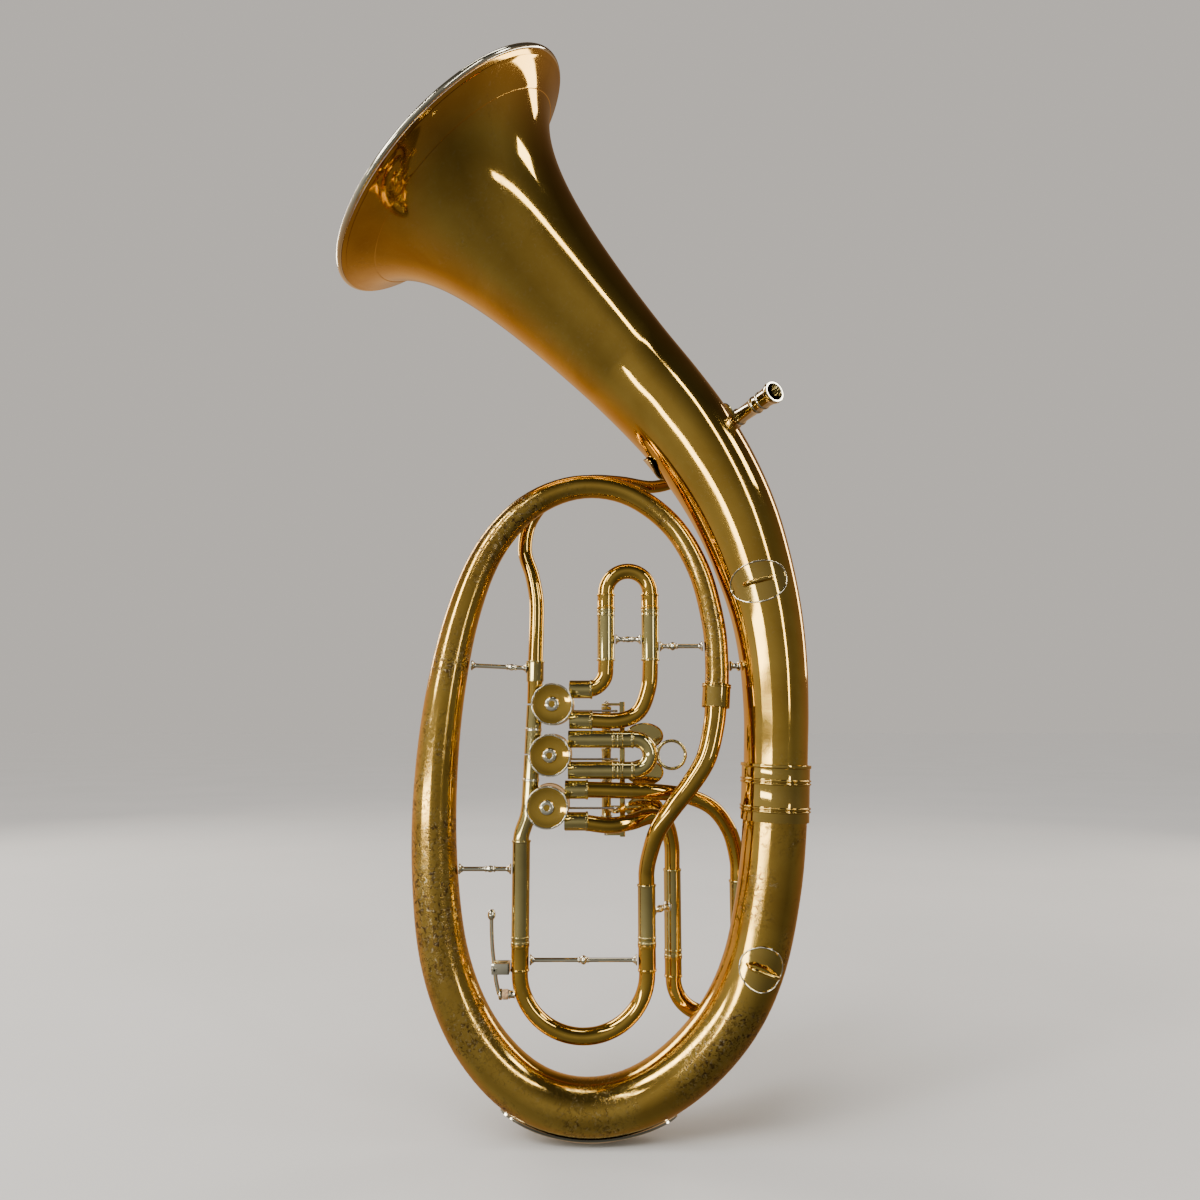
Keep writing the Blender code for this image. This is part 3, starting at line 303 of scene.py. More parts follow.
def metal(name, clean, tarnish, dull, shine, wear, scratch_depth=0.00002):
    """A polished metal with cloudy tarnish, fine scratches, dull specks and flaked lacquer.

    clean, tarnish and dull are colours; shine is the clean roughness; wear from 0 to 1
    says how much of the surface has lost its polish.
    """
    material, tree, shader, add = new_material(name)
    where = add("ShaderNodeTexCoord").outputs["Object"]
    cloud = noise(add, where, 22.0, 5.0, 0.6, 0.4)
    drift = noise(add, where, 7.0, 2.0)
    colour = mixed(add, ramp(add, cloud, 0.38, 0.72, 0.0, 0.8), clean, tarnish)
    colour = mixed(add, ramp(add, drift, 0.42, 0.68, 0.0, 0.45), colour, tarnish)
    speck = noise(add, where, 430.0, 6.0, 0.75, 0.8)
    patch = noise(add, where, 13.0, 5.0, 0.7, 0.8)
    worn = product(
        add, ramp(add, speck, 0.50, 0.56), ramp(add, patch, 0.66 - 0.24 * wear, 0.74 - 0.16 * wear),
    )
    worn = product(add, worn, wear)
    colour = mixed(add, worn, colour, dull)
    flake = noise(add, where, 260.0, 8.0, 0.8, 2.2)
    flaked = product(add, ramp(add, flake, 0.56, 0.60), ramp(add, patch, 0.40, 0.60, 0.0, 0.7 * wear))
    colour = mixed(add, flaked, colour, BARE_METAL)
    tree.links.new(colour, shader.inputs["Base Color"])
    shader.inputs["Metallic"].default_value = 1.0
    smear = noise(add, where, 55.0, 6.0, 0.7, 1.2)
    rough = ramp(add, smear, 0.3, 0.75, shine * 0.75, shine * 1.45)
    rough = product(add, rough, product(add, worn, 0.3), "ADD")
    rough = product(add, rough, product(add, flaked, 0.22), "ADD")
    tree.links.new(rough, shader.inputs["Roughness"])
    stretched = add(
        "ShaderNodeMapping", {"Vector": where, "Rotation": (0.5, 0.35, 0.2),
                              "Scale": (90.0, 1500.0, 2600.0)},
    ).outputs["Vector"]
    scratch = noise(add, stretched, 1.0, 2.0, 0.5)
    ripple = noise(add, where, 38.0, 2.0, 0.4)
    height = product(add, product(add, scratch, 0.35), product(add, ripple, 9.0), "ADD")
    height = product(add, height, product(add, worn, -1.2), "ADD")
    bump = add("ShaderNodeBump", {"Height": height, "Strength": 0.35, "Distance": scratch_depth})
    tree.links.new(bump.outputs["Normal"], shader.inputs["Normal"])
    return material


def cork_material():
    """Matte cork with dark grains."""
    material, tree, shader, add = new_material("natural_cork_fine")
    where = add("ShaderNodeTexCoord").outputs["Object"]
    grains = add("ShaderNodeTexVoronoi", {"Vector": where, "Scale": 900.0}).outputs["Distance"]
    shade = noise(add, where, 500.0, 4.0)
    colour = mixed(add, ramp(add, grains, 0.1, 0.7), (0.20, 0.11, 0.05, 1.0), (0.55, 0.36, 0.20, 1.0))
    colour = mixed(add, ramp(add, shade, 0.3, 0.7, 0.0, 0.5), colour, (0.42, 0.26, 0.13, 1.0))
    tree.links.new(colour, shader.inputs["Base Color"])
    shader.inputs["Roughness"].default_value = 0.9
    bump = add("ShaderNodeBump", {"Height": grains, "Strength": 0.6, "Distance": 0.0002})
    tree.links.new(bump.outputs["Normal"], shader.inputs["Normal"])
    return material


BRASS = metal(
    "lacquered_brass_fine", (0.70, 0.45, 0.095, 1.0), (0.50, 0.28, 0.045, 1.0),
    (0.16, 0.09, 0.03, 1.0), 0.06, 0.3,
)
WORN_BRASS = metal(
    "worn_brass_fine", (0.70, 0.45, 0.095, 1.0), (0.44, 0.24, 0.04, 1.0),
    (0.09, 0.05, 0.02, 1.0), 0.10, 1.0,
)
NICKEL = metal(
    "nickel_silver_fine", (0.66, 0.55, 0.23, 1.0), (0.46, 0.36, 0.13, 1.0),
    (0.16, 0.12, 0.05, 1.0), 0.07, 0.3,
)
WARM_NICKEL = metal(
    "warm_nickel_fine", (0.69, 0.485, 0.135, 1.0), (0.50, 0.31, 0.07, 1.0),
    (0.16, 0.11, 0.04, 1.0), 0.06, 0.3,
)
BRIGHT = metal(
    "bright_nickel_fine", (0.86, 0.82, 0.66, 1.0), (0.66, 0.60, 0.44, 1.0),
    (0.20, 0.16, 0.10, 1.0), 0.07, 0.25,
)
STEEL = metal(
    "polished_steel_fine", (0.62, 0.62, 0.62, 1.0), (0.45, 0.44, 0.42, 1.0),
    (0.16, 0.13, 0.11, 1.0), 0.2, 0.3,
)
CORK = cork_material()


# ---------------------------------------------------------------- shape tools

def shown(name, shape, finish, body="horn_body", sharp=32.0):
    """Make a piece from a bmesh in millimetres and let it ride on a body."""
    for vertex in shape.verts:
        vertex.co = place(vertex.co)
    bmesh.ops.recalc_face_normals(shape, faces=shape.faces)
    data = bpy.data.meshes.new(name)
    shape.to_mesh(data)
    shape.free()
    data.shade_smooth()
    data.set_sharp_from_angle(angle=math.radians(sharp))
    data.materials.append(finish)
    piece = bpy.data.objects.new(name, data)
    bpy.context.scene.collection.objects.link(piece)
    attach(piece, body)
    return piece


def stands_for(node, shape, finish, *others, sharp=32.0):
    """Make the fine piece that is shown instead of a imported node."""
    piece = shown("fine_" + node, shape, finish, BODY_OF[node], sharp)
    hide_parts(node, *others)
    return piece


def merged(*shapes):
    """One bmesh that holds the faces of several."""
    first = shapes[0]
    for other in shapes[1:]:
        data = bpy.data.meshes.new("part")
        other.to_mesh(data)
        other.free()
        first.from_mesh(data)
        bpy.data.meshes.remove(data)
    return first


def smooth(rows, per_span):
    """Points of a Catmull-Rom curve through rows of numbers, as vectors."""
    rows = [Vector(row) for row in rows]
    padded = [2.0 * rows[0] - rows[1]] + rows + [2.0 * rows[-1] - rows[-2]]
    points = []
    for index in range(1, len(padded) - 2):
        a, b, c, d = padded[index - 1:index + 3]
        for step in range(per_span):
            t = step / per_span
            points.append(
                0.5 * (2.0 * b + (c - a) * t + (2.0 * a - 5.0 * b + 4.0 * c - d) * t * t
                       + (3.0 * b - a - 3.0 * c + d) * t ** 3)
            )
    points.append(rows[-1])
    return points


def carried_frames(centres):
    """Two cross vectors at each point of a line, turned no more than the line turns."""
    frames = []
    last = len(centres) - 1
    side = None
    for index in range(last + 1):
        ahead = centres[min(index + 1, last)] - centres[max(index - 1, 0)]
        ahead.normalize()
        if side is None:
            side = ahead.orthogonal()
        side = (side - ahead * side.dot(ahead)).normalized()
        frames.append((side.copy(), ahead.cross(side)))
    return frames


def ring_of(shape, centre, frame_pair, radius, sides):
    """A ring of vertices round a point."""
    side, up = frame_pair
    corners = (2.0 * math.pi * corner / sides for corner in range(sides))
    return [
        shape.verts.new(centre + radius * (math.cos(a) * side + math.sin(a) * up)) for a in corners
    ]


def join_rings(shape, first, second):
    """Faces between two rings, of which one may be a single vertex."""
    count = max(len(first), len(second))
    for corner in range(count):
        after = (corner + 1) % count
        if len(first) == 1 or len(second) == 1:
            tip, ring = (first, second) if len(first) == 1 else (second, first)
            shape.faces.new((tip[0], ring[corner], ring[after]))
        else:
            shape.faces.new((first[corner], first[after], second[after], second[corner]))


def sweep(rows, wall=0.0, sides=40):
    """A tube along rows of x, y, z and outer radius; a wall of 0 gives a solid bar."""
    centres = [Vector(row[:3]) for row in rows]
    frames = carried_frames(centres)
    shape = bmesh.new()
    outer = [
        ring_of(shape, centre, pair, row[3], sides)
        for centre, pair, row in zip(centres, frames, rows)
    ]
    for before, after in zip(outer, outer[1:]):
        join_rings(shape, before, after)
    if wall > 0.0:
        inner = [
            ring_of(shape, centre, pair, row[3] - wall, sides)
            for centre, pair, row in zip(centres, frames, rows)
        ]
        for before, after in zip(inner, inner[1:]):
            join_rings(shape, after, before)
        join_rings(shape, inner[0], outer[0])
        join_rings(shape, outer[-1], inner[-1])
    else:
        shape.faces.new(outer[0])
        shape.faces.new(list(reversed(outer[-1])))
    return shape


def filleted(profile, fillet, closed):
    """A profile with its corners rounded by short arcs."""
    points = [Vector(point) for point in profile]
    count = len(points)
    made = []
    for index, corner in enumerate(points):
        if not closed and index in (0, count - 1):
            made.append(corner)
            continue
        before = points[index - 1] - corner
        after = points[(index + 1) % count] - corner
        turn = math.pi - before.angle(after, math.pi)
        if turn < math.radians(20.0) or corner.x < 1e-6:
            made.append(corner)
            continue
        reach = min(fillet, 0.4 * before.length, 0.4 * after.length)
        start = corner + before.normalized() * reach
        end = corner + after.normalized() * reach
        for step in range(4):
            t = step / 3.0
            made.append((1 - t) ** 2 * start + 2 * t * (1 - t) * corner + t * t * end)
    return made


def lathe(profile, start, direction, sides=48, fillet=0.25):
    """A turned solid from rows of radius and height along a direction."""
    closed = min(row[0] for row in profile) > 0.0
    rows = filleted(profile, fillet, closed)
    turn = Vector(direction).to_track_quat("Z", "Y").to_matrix()
    side, up, ahead = turn.col
    shape = bmesh.new()
    rings = []
    for radius, height in rows:
        centre = Vector(start) + ahead * height
        if radius < 1e-6:
            rings.append([shape.verts.new(centre)])
        else:
            rings.append(ring_of(shape, centre, (side, up), radius, sides))
    pairs = list(zip(rings, rings[1:]))
    if closed:
        pairs.append((rings[-1], rings[0]))
    for before, after in pairs:
        join_rings(shape, before, after)
    return shape


def bar(start, end, radius, sides=20, fillet=0.25):
    """A solid round bar with softened ends."""
    length = (Vector(end) - Vector(start)).length
    profile = [(0.0, 0.0), (radius, 0.0), (radius, length), (0.0, length)]
    return lathe(profile, start, Vector(end) - Vector(start), sides, fillet)


def block(low, high, bevel=0.4):
    """A rectangular block with rounded edges."""
    low = Vector(low)
    high = Vector(high)
    shape = bmesh.new()
    bmesh.ops.create_cube(
        shape, size=1.0,
        matrix=Matrix.Translation((low + high) / 2.0) @ Matrix.Diagonal((*(high - low), 1.0)),
    )
    bmesh.ops.bevel(
        shape, geom=shape.edges[:], offset=bevel, segments=2, profile=0.6, affect="EDGES",
    )
    return shape


def arc(centre, along, across, radius, steps, bulge=1.0):
    """Points of a half circle that starts at -across and bulges along a direction."""
    angles = (math.pi * step / steps for step in range(steps + 1))
    return [
        Vector(centre)
        + radius * (bulge * math.sin(a) * Vector(along) - math.cos(a) * Vector(across))
        for a in angles
    ]


def route_section(rows, start_index, offset=0.0):
    """A function that gives the section of a smooth route at a distance from a place on it.

    The place is the row start_index, moved along the route by the offset.
    """
    per_span = 16
    points = smooth(rows, per_span)
    places = [point.to_3d() for point in points]
    travel = [0.0]
    for before, after in zip(places, places[1:]):
        travel.append(travel[-1] + (after - before).length)
    zero = travel[start_index * per_span] + offset

    def section(distance):
        target = min(max(zero + distance, 0.0), travel[-1] - 1e-6)
        index = next(i for i in range(len(travel) - 1) if travel[i + 1] > target)
        share = (target - travel[index]) / (travel[index + 1] - travel[index])
        row = points[index].lerp(points[index + 1], share)
        axis = (places[index + 1] - places[index]).normalized()
        front = (axis * BACK.dot(axis) - BACK).normalized()
        return row.to_3d(), axis.cross(front), front, row[3]

    return section


def plate_point(section, outline, share, turn, lift):
    """A point inside an oval outline on a tapered tube, lifted off its surface."""
    half_angle, half_length, middle_angle = outline
    centre, side, front, radius = section(share * math.sin(turn) * half_length)
    angle = middle_angle + share * math.cos(turn) * half_angle
    return centre + (radius + lift) * (math.sin(angle) * side + math.cos(angle) * front)


def plate_edge(section, outline, lift, wire):
    """A thin round wire along the edge of an oval plate."""
    turns = (math.radians(5.0 * corner) for corner in range(73))
    return sweep(
        [(*plate_point(section, outline, 0.97, turn, lift), wire) for turn in turns], 0.0, 12,
    )


def hugging_plate(section, outline, wall, gap, rings=14, sides=72, raised=0.0, edge=0.86):
    """An oval plate on a tapered tube, with an optional raised edge."""
    profile = [(0.0, wall)]
    profile += [(edge * step / rings, wall) for step in range(1, rings + 1)]
    if raised > 0.0:
        profile += [(edge + 0.02, wall + raised), (0.985, wall + raised)]
    profile += [(1.0, wall + raised * 0.6), (1.0, 0.0)]
    profile += [(step / rings, 0.0) for step in range(rings - 1, -1, -1)]
    shape = bmesh.new()
    turns = [2.0 * math.pi * corner / sides for corner in range(sides)]
    loops = []
    for share, lift in profile:
        if share == 0.0:
            middle = plate_point(section, outline, 0.0, 0.0, gap + lift)
            loops.append([shape.verts.new(middle)])
        else:
            loops.append([
                shape.verts.new(plate_point(section, outline, share, turn, gap + lift))
                for turn in turns
            ])
    for before, after in zip(loops, loops[1:]):
        join_rings(shape, before, after)
    return shape


def baluster(start, end, radius=1.3, foot=3.0, bead=2.6, bead_at=0.5):
    """A turned brace: two feet, a slim rod and one bead between two collars."""
    start = Vector(start)
    end = Vector(end)
    length = (end - start).length
    middle = length * bead_at
    foot_rows = [(0.0, 0.0), (foot, 0.0), (foot, 0.6), (foot * 0.72, 1.1), (radius, 2.6)]
    bead_rows = [
        (radius, 3.0), (radius + 0.5, 2.7), (radius + 0.5, 2.2), (radius, 1.9), (bead * 0.86, 0.9),
    ]
    profile = foot_rows + [(across, middle - height) for across, height in bead_rows]
    profile.append((bead, middle))
    profile += [(across, middle + height) for across, height in reversed(bead_rows)]
    profile += [(across, length - height) for across, height in reversed(foot_rows)]
    return lathe(profile, start, end - start, 32, 0.3)


# ---------------------------------------------------------------- bell and bow

def bell_radius(depth):
    """Outer radius of the flare at a depth behind the rim."""
    return BELL_RIM_RADIUS * (BELL_FLARE_SCALE / (BELL_FLARE_SCALE + depth)) ** BELL_FLARE_POWER


def bell_tail_route():
    """The rows of the bell from the end of its flare."""
    depth = (BELL_FLARE_END - BELL_RIM_CENTRE).length
    return [(*BELL_FLARE_END, bell_radius(depth))] + BELL_TAIL


def dress_bell():
    """Bell, garland band, rim wire and bell ferrule."""
    axis = BELL_FLARE_END - BELL_RIM_CENTRE
    along = axis.normalized()
    steps = 44
    flare = []
    for step in range(steps + 1):
        depth = axis.length * (step / steps) ** 1.8
        flare.append((*(BELL_RIM_CENTRE + along * depth), bell_radius(depth)))
    per_span = 8
    lead_in = (*(BELL_FLARE_END - along * LEAD_IN), bell_radius(axis.length - LEAD_IN))
    tail = smooth([lead_in, flare[-1]] + BELL_TAIL, per_span)[per_span + 1:]
    stands_for("bell", sweep(flare + tail, BELL_WALL, 128), BRASS)
    start, end = GARLAND_DEPTHS
    depths = [start + (end - start) * step / 10.0 for step in range(11)]
    band = [(bell_radius(depth) + 0.04, depth) for depth in depths]
    band += [(bell_radius(depth) + 0.55, depth) for depth in reversed(depths)]
    shown("bell_garland", lathe(band, BELL_RIM_CENTRE, along, 128, 0.1), BRASS)
    corners = [math.radians(22.5 * corner) for corner in range(16)]
    wire = [
        (BELL_RIM_RADIUS + RIM_WIRE_RADIUS * math.cos(a),
         -RIM_WIRE_RADIUS - CLEARANCE + RIM_WIRE_RADIUS * math.sin(a))
        for a in corners
    ]
    stands_for("bell_rim_wire", lathe(wire, BELL_RIM_CENTRE, along, 160), BRIGHT)
    low = Vector(BOW_ROUTE[1][:3])
    up = (Vector(BELL_TAIL[-2][:3]) - low).normalized()
    joint = (Vector(BOW_ROUTE[0][:3]) + Vector(BELL_TAIL[-1][:3])) / 2.0
    profile = [(18.9, -16.0), (19.5, -16.0)]
    for level in (-10.0, -8.2, 5.4, 7.2):
        profile += [
            (19.5, level - 0.6), (20.2, level - 0.4), (20.2, level + 0.4), (19.5, level + 0.6),
        ]
    profile += [(19.5, 14.0), (20.2, 14.4), (20.2, 16.0), (18.9, 16.0)]
    stands_for("bell_ferrule", lathe(profile, joint, up, 96, 0.2), WARM_NICKEL)


def dress_bow():
    """Main bow, guard, branch and branch ferrule."""
    rows = smooth(BOW_ROUTE, 6)
    stands_for("main_bow", sweep(rows, 0.7, 72), WORN_BRASS)
    section = route_section(BOW_ROUTE, 7)
    outline = (math.radians(40.0), 42.0, math.radians(-90.0))
    guard = hugging_plate(section, outline, 0.8, 0.5, raised=0.35, edge=0.9)
    stands_for("bow_guard", guard, BRIGHT)
    rows = smooth(BRANCH_ROUTE, 6)
    stands_for("main_branch", sweep(rows, TUBE_WALL, 48), BRASS)
    joint = (Vector(BOW_ROUTE[-1][:3]) + Vector(BRANCH_ROUTE[0][:3])) / 2.0
    up = (Vector(BOW_ROUTE[-2][:3]) - Vector(BRANCH_ROUTE[1][:3])).normalized()
    profile = [
        (7.5, -6.8), (8.1, -6.8), (8.1, 4.6), (8.5, 4.9), (8.5, 5.6), (8.1, 5.9), (8.1, 6.1),
        (8.5, 6.3), (8.5, 6.8), (7.5, 6.8),
    ]
    stands_for("branch_ferrule", lathe(profile, joint, up, 64, 0.15), WARM_NICKEL)


# ---------------------------------------------------------------- valves

def valve_centre(index):
    """Middle of one rotary valve, counted from the top."""
    return VALVE_TOP + VALVE_STEP * index


def dress_valve(index):
    """Casing, screw cap, bearing plate and the cork stops of one valve."""
    centre = valve_centre(index)
    number = index + 1
    front = centre - BACK * CASING_HALF_LENGTH
    length = 2.0 * CASING_HALF_LENGTH
    wall = [
        (CASING_BORE, 0.0), (CASING_RADIUS, 0.0), (CASING_RADIUS, 1.6), (CASING_RADIUS - 0.3, 2.0),
        (CASING_RADIUS - 0.3, length - 2.0), (CASING_RADIUS, length - 1.6), (CASING_RADIUS, length),
        (CASING_BORE, length),
    ]
    stands_for(f"valve_casing_{number}", lathe(wall, front, BACK, 72, 0.2), NICKEL)
    face = front - BACK * CLEARANCE
    rim = lathe(
        [(10.8, 0.2), (12.1, 0.0), (12.1, 2.5), (11.7, 3.2), (11.1, 3.2), (10.8, 2.7)],
        face, -BACK, 144, 0.25,
    )
    for vertex in rim.verts:
        out = vertex.co - centre
        out.y = 0.0
        turn = math.degrees(math.atan2(out.z, out.x)) / 5.0
        if out.length > 11.9:
            vertex.co -= out.normalized() * 0.16 * (1.0 + math.cos(2.0 * math.pi * turn))
    stands_for(f"valve_cap_{number}", rim, BRIGHT)
    dish = [
        (0.0, 0.0), (11.0, 0.0), (10.9, 2.8), (9.6, 2.4), (7.0, 1.9), (4.4, 1.8), (0.0, 1.8),
    ]
    shown(f"valve_cap_dish_{number}", lathe(dish, face, -BACK, 72), BRASS)
    boss = [
        (1.7, 1.5), (4.4, 1.7), (4.2, 3.5), (3.7, 4.2), (2.8, 4.5), (1.9, 4.5), (1.7, 4.1),
    ]
    shown(f"valve_cap_boss_{number}", lathe(boss, face, -BACK, 48, 0.2), BRIGHT)
    back = centre + BACK * (CASING_HALF_LENGTH + CLEARANCE)
    plate = lathe([(2.9, 0.0), (12.0, 0.0), (12.0, 2.4), (2.9, 2.4)], back, BACK, 72, 0.3)
    stands_for(f"bearing_plate_{number}", plate, NICKEL)
    stops = []
    for degrees in (30.0, 150.0):
        angle = math.radians(degrees)
        middle = centre + Vector((9.8 * math.cos(angle), 0.0, 9.8 * math.sin(angle)))
        low = middle + Vector((-1.3, 14.75, -1.3))
        stops.append(block(low, low + Vector((2.6, 2.9, 2.6)), 0.3))
    shown(f"cork_stops_{number}", merged(*stops), CORK)


def dress_stop_arm(index):
    """Rotor spindle's stop arm with its screw and the pin that the link drives."""
    centre = valve_centre(index)
    back = centre + Vector((0.0, 15.6, 0.0))
    hub = lathe(
        [(0.0, 0.0), (4.0, 0.0), (4.0, 2.4), (2.4, 2.4), (2.3, 3.1), (0.0, 3.1)],
        back, BACK, 40, 0.25,
    )
    reach = STOP_PIN_REACH * math.sin(math.radians(45.0))
    pin = centre + Vector((reach, 0.0, -reach))
    arm = bar(back + BACK, pin + BACK * 16.6, 1.1)
    head = bar(pin + BACK * 15.8, pin + BACK * STOP_PIN_END, 1.7, 28)
    tail = bar(back + BACK, centre + Vector((-reach * 1.35, 16.6, reach * 1.35)), 0.9)
    shape = merged(hub, arm, head, tail)
    stands_for(f"stop_arm_{index + 1}", shape, STEEL)
    frame["nodes"][f"rotor_{index + 1}"].data.materials[0] = BRASS


def hugged(shape, *indices):
    """Press the vertices of a tube that lie inside a casing's bore outward into the casing's wall."""
    reach = (CASING_BORE + CASING_RADIUS) / 2.0
    for index in indices:
        centre = valve_centre(index)
        for vertex in shape.verts:
            out = vertex.co - centre
            out.y = 0.0
            if out.length < reach:
                vertex.co += out.normalized() * (reach - out.length)
    return shape


def dress_passages():
    """Knuckles between the valves and the tube that leaves the last one."""
    for index in range(VALVE_COUNT - 1):
        start = valve_centre(index) + Vector((-KNUCKLE_OFFSET, 0.0, 0.0))
        end = valve_centre(index + 1) + Vector((-KNUCKLE_OFFSET, 0.0, 0.0))
        points = [start.lerp(end, 0.012 + 0.976 * step / 24.0) for step in range(25)]
        shape = hugged(sweep(tube_rows(points), TUBE_WALL), index, index + 1)
        stands_for(f"valve_knuckle_{index + 1}", shape, NICKEL)
        middle = (start + end) / 2.0
        band = [(TUBE_RADIUS, -0.9), (TUBE_RADIUS + 0.35, -0.7), (TUBE_RADIUS + 0.35, 0.7),
                (TUBE_RADIUS, 0.9)]
        shown(f"knuckle_ring_{index + 1}", lathe(band, middle, end - start), BRIGHT)
    index = VALVE_COUNT - 1
    last = valve_centre(index)
    points = [
        (last.x - KNUCKLE_OFFSET, 0.0, last.z - CLEARANCE),
        (last.x - KNUCKLE_OFFSET - 1.2, 0.0, last.z - 7.0),
        (TUNING_LEFT_X, 0.0, last.z - 17.0),
        (TUNING_LEFT_X, 0.0, last.z - 28.0),
    ]
    pipe = hugged(sweep(tube_rows(smooth(points, 8)), TUBE_WALL), index)
    stands_for("valve_exit_tube", pipe, NICKEL)


# ---------------------------------------------------------------- leadpipe

def dress_leadpipe():
    """Leadpipe with its ferrule, the mouthpiece receiver and the flange on the bell."""
    rows = smooth(LEADPIPE_ROUTE, 6)
    stands_for("leadpipe", hugged(sweep(rows, TUBE_WALL, 40), 0), BRASS)
    profile = [
        (4.5, 0.0), (5.0, 0.0), (5.0, 11.0), (5.4, 11.2), (5.4, 12.0), (4.5, 12.0),
    ]
    sleeve = lathe(profile, LEADPIPE_FERRULE_FOOT, UP, 48, 0.15)
    shown("leadpipe_ferrule", sleeve, NICKEL)
    direction = RECEIVER_END - RECEIVER_START
    length = direction.length
    outside = [
        (5.4, 0.0), (6.0, 0.8), (6.0, 2.4), (5.1, 3.4), (4.8, 5.0), (5.4, 5.8), (5.8, 6.6),
        (5.4, 7.4), (4.8, 8.2), (4.8, 10.2), (5.3, 10.8), (5.7, 11.4), (5.3, 12.0), (4.8, 12.8),
        (4.7, 16.0), (4.9, length - 20.0), (5.4, length - 18.6), (5.7, length - 17.8),
        (5.4, length - 17.0), (5.0, length - 16.2), (5.1, length - 13.0), (5.8, length - 12.4),
        (5.8, length - 11.4), (5.3, length - 10.8), (5.9, length - 4.0), (6.5, length - 3.2),
        (6.8, length - 2.0), (6.8, length),
    ]
    profile = outside + [(5.2, length), (3.0, length - 24.0), (3.0, 4.6), (4.6, 4.6), (4.6, 0.0)]
    stands_for("mouthpiece_receiver", lathe(profile, RECEIVER_START, direction, 64, 0.25), BRIGHT)
    outline = (math.radians(100.0), 12.0, math.pi)
    flange = hugging_plate(route_section(bell_tail_route(), 2), outline, 0.8, 1.6, rings=24)
    stands_for("leadpipe_flange", flange, NICKEL)


# ---------------------------------------------------------------- slides

def crook(first, second, out, reach, ferrule, bulge=1.0):
    """A slide: inner legs, ferrules and a half-round bend, with beads on the ferrules."""
    first = Vector(first)
    second = Vector(second)
    out = Vector(out)
    across = (second - first).normalized()
    bend_radius = (second - first).length / 2.0
    level = out * ferrule
    middle = (first + second) / 2.0 + level * 1.06
    bend = arc(middle, out, across, bend_radius, 40, bulge)
    first_leg = [first - out * reach, first + level]
    second_leg = [second + level, second - out * reach]
    pieces = [sweep(tube_rows(first_leg + bend + second_leg), TUBE_WALL, 40)]
    for shoulder in (first, second):
        pieces.append(ferrule_sleeve(shoulder + out * CLEARANCE, shoulder + level, out))
    return merged(*pieces)


def ferrule_sleeve(start, end, direction):
    """A short sleeve with a raised ring at its start and at its end."""
    length = (Vector(end) - Vector(start)).length
    profile = [
        (TUBE_RADIUS - 0.1, 0.0), (SLEEVE_RADIUS, 0.0), (SLEEVE_RADIUS, 1.3),
        (SLEEVE_RADIUS - 0.3, 1.6), (SLEEVE_RADIUS - 0.3, length - 1.5),
        (SLEEVE_RADIUS, length - 1.2), (SLEEVE_RADIUS, length - 0.3), (TUBE_RADIUS - 0.1, length),
    ]
    return lathe(profile, start, direction, 48, 0.15)


def outer_sleeve(start, end, foot_ring=True):
    """An outer slide sleeve from its foot to its open shoulder."""
    direction = Vector(end) - Vector(start)
    length = direction.length
    plain = SLEEVE_RADIUS - 0.25
    profile = [(TUBE_RADIUS + 0.15, 0.0), (plain, 0.0)]
    if foot_ring:
        profile += [(SLEEVE_RADIUS + 0.15, 0.1), (SLEEVE_RADIUS + 0.15, 1.1), (plain, 1.3)]
    profile += [
        (plain, length - 4.0), (SLEEVE_RADIUS, length - 3.8), (SLEEVE_RADIUS, length - 3.0),
        (plain, length - 2.8), (plain, length - 1.2), (SLEEVE_RADIUS, length - 1.0),
        (SLEEVE_RADIUS, length), (TUBE_RADIUS + 0.15, length),
    ]
    return lathe(profile, start, direction, 48, 0.12)


def casing_stub(index, level, length):
    """The nickel sleeve that joins a tube to a casing."""
    centre = valve_centre(index)
    start = centre + Vector((9.5, 0.0, level))
    profile = [
        (TUBE_RADIUS + 0.02, 0.0), (SLEEVE_RADIUS, 0.0), (SLEEVE_RADIUS, length - 1.5),
        (SLEEVE_RADIUS + 0.35, length - 1.3), (SLEEVE_RADIUS + 0.35, length - 0.3),
        (TUBE_RADIUS + 0.02, length),
    ]
    return lathe(profile, start, RIGHT, 48, 0.12)


def tube_rows(points):
    """Rows of x, y, z and the outer radius of the valve tubing."""
    return [(*point, TUBE_RADIUS) for point in points]


def dress_bent_tube(node, points, sleeve_start, sleeve_end, index, level):
    """A bent brass tube from a casing, its outer sleeve and its casing stub."""
    path = smooth(points, 8) + [Vector(sleeve_end)]
    outside = [point for point in path if point.x > valve_centre(index).x + 9.0]
    stands_for(node, sweep(tube_rows(outside), TUBE_WALL, 40), BRASS)
    body = BODY_OF[node]
    shown(f"{node}_sleeve", outer_sleeve(sleeve_start, sleeve_end), NICKEL, body)
    shown(f"{node}_stub", casing_stub(index, level, 13.5), NICKEL, body)


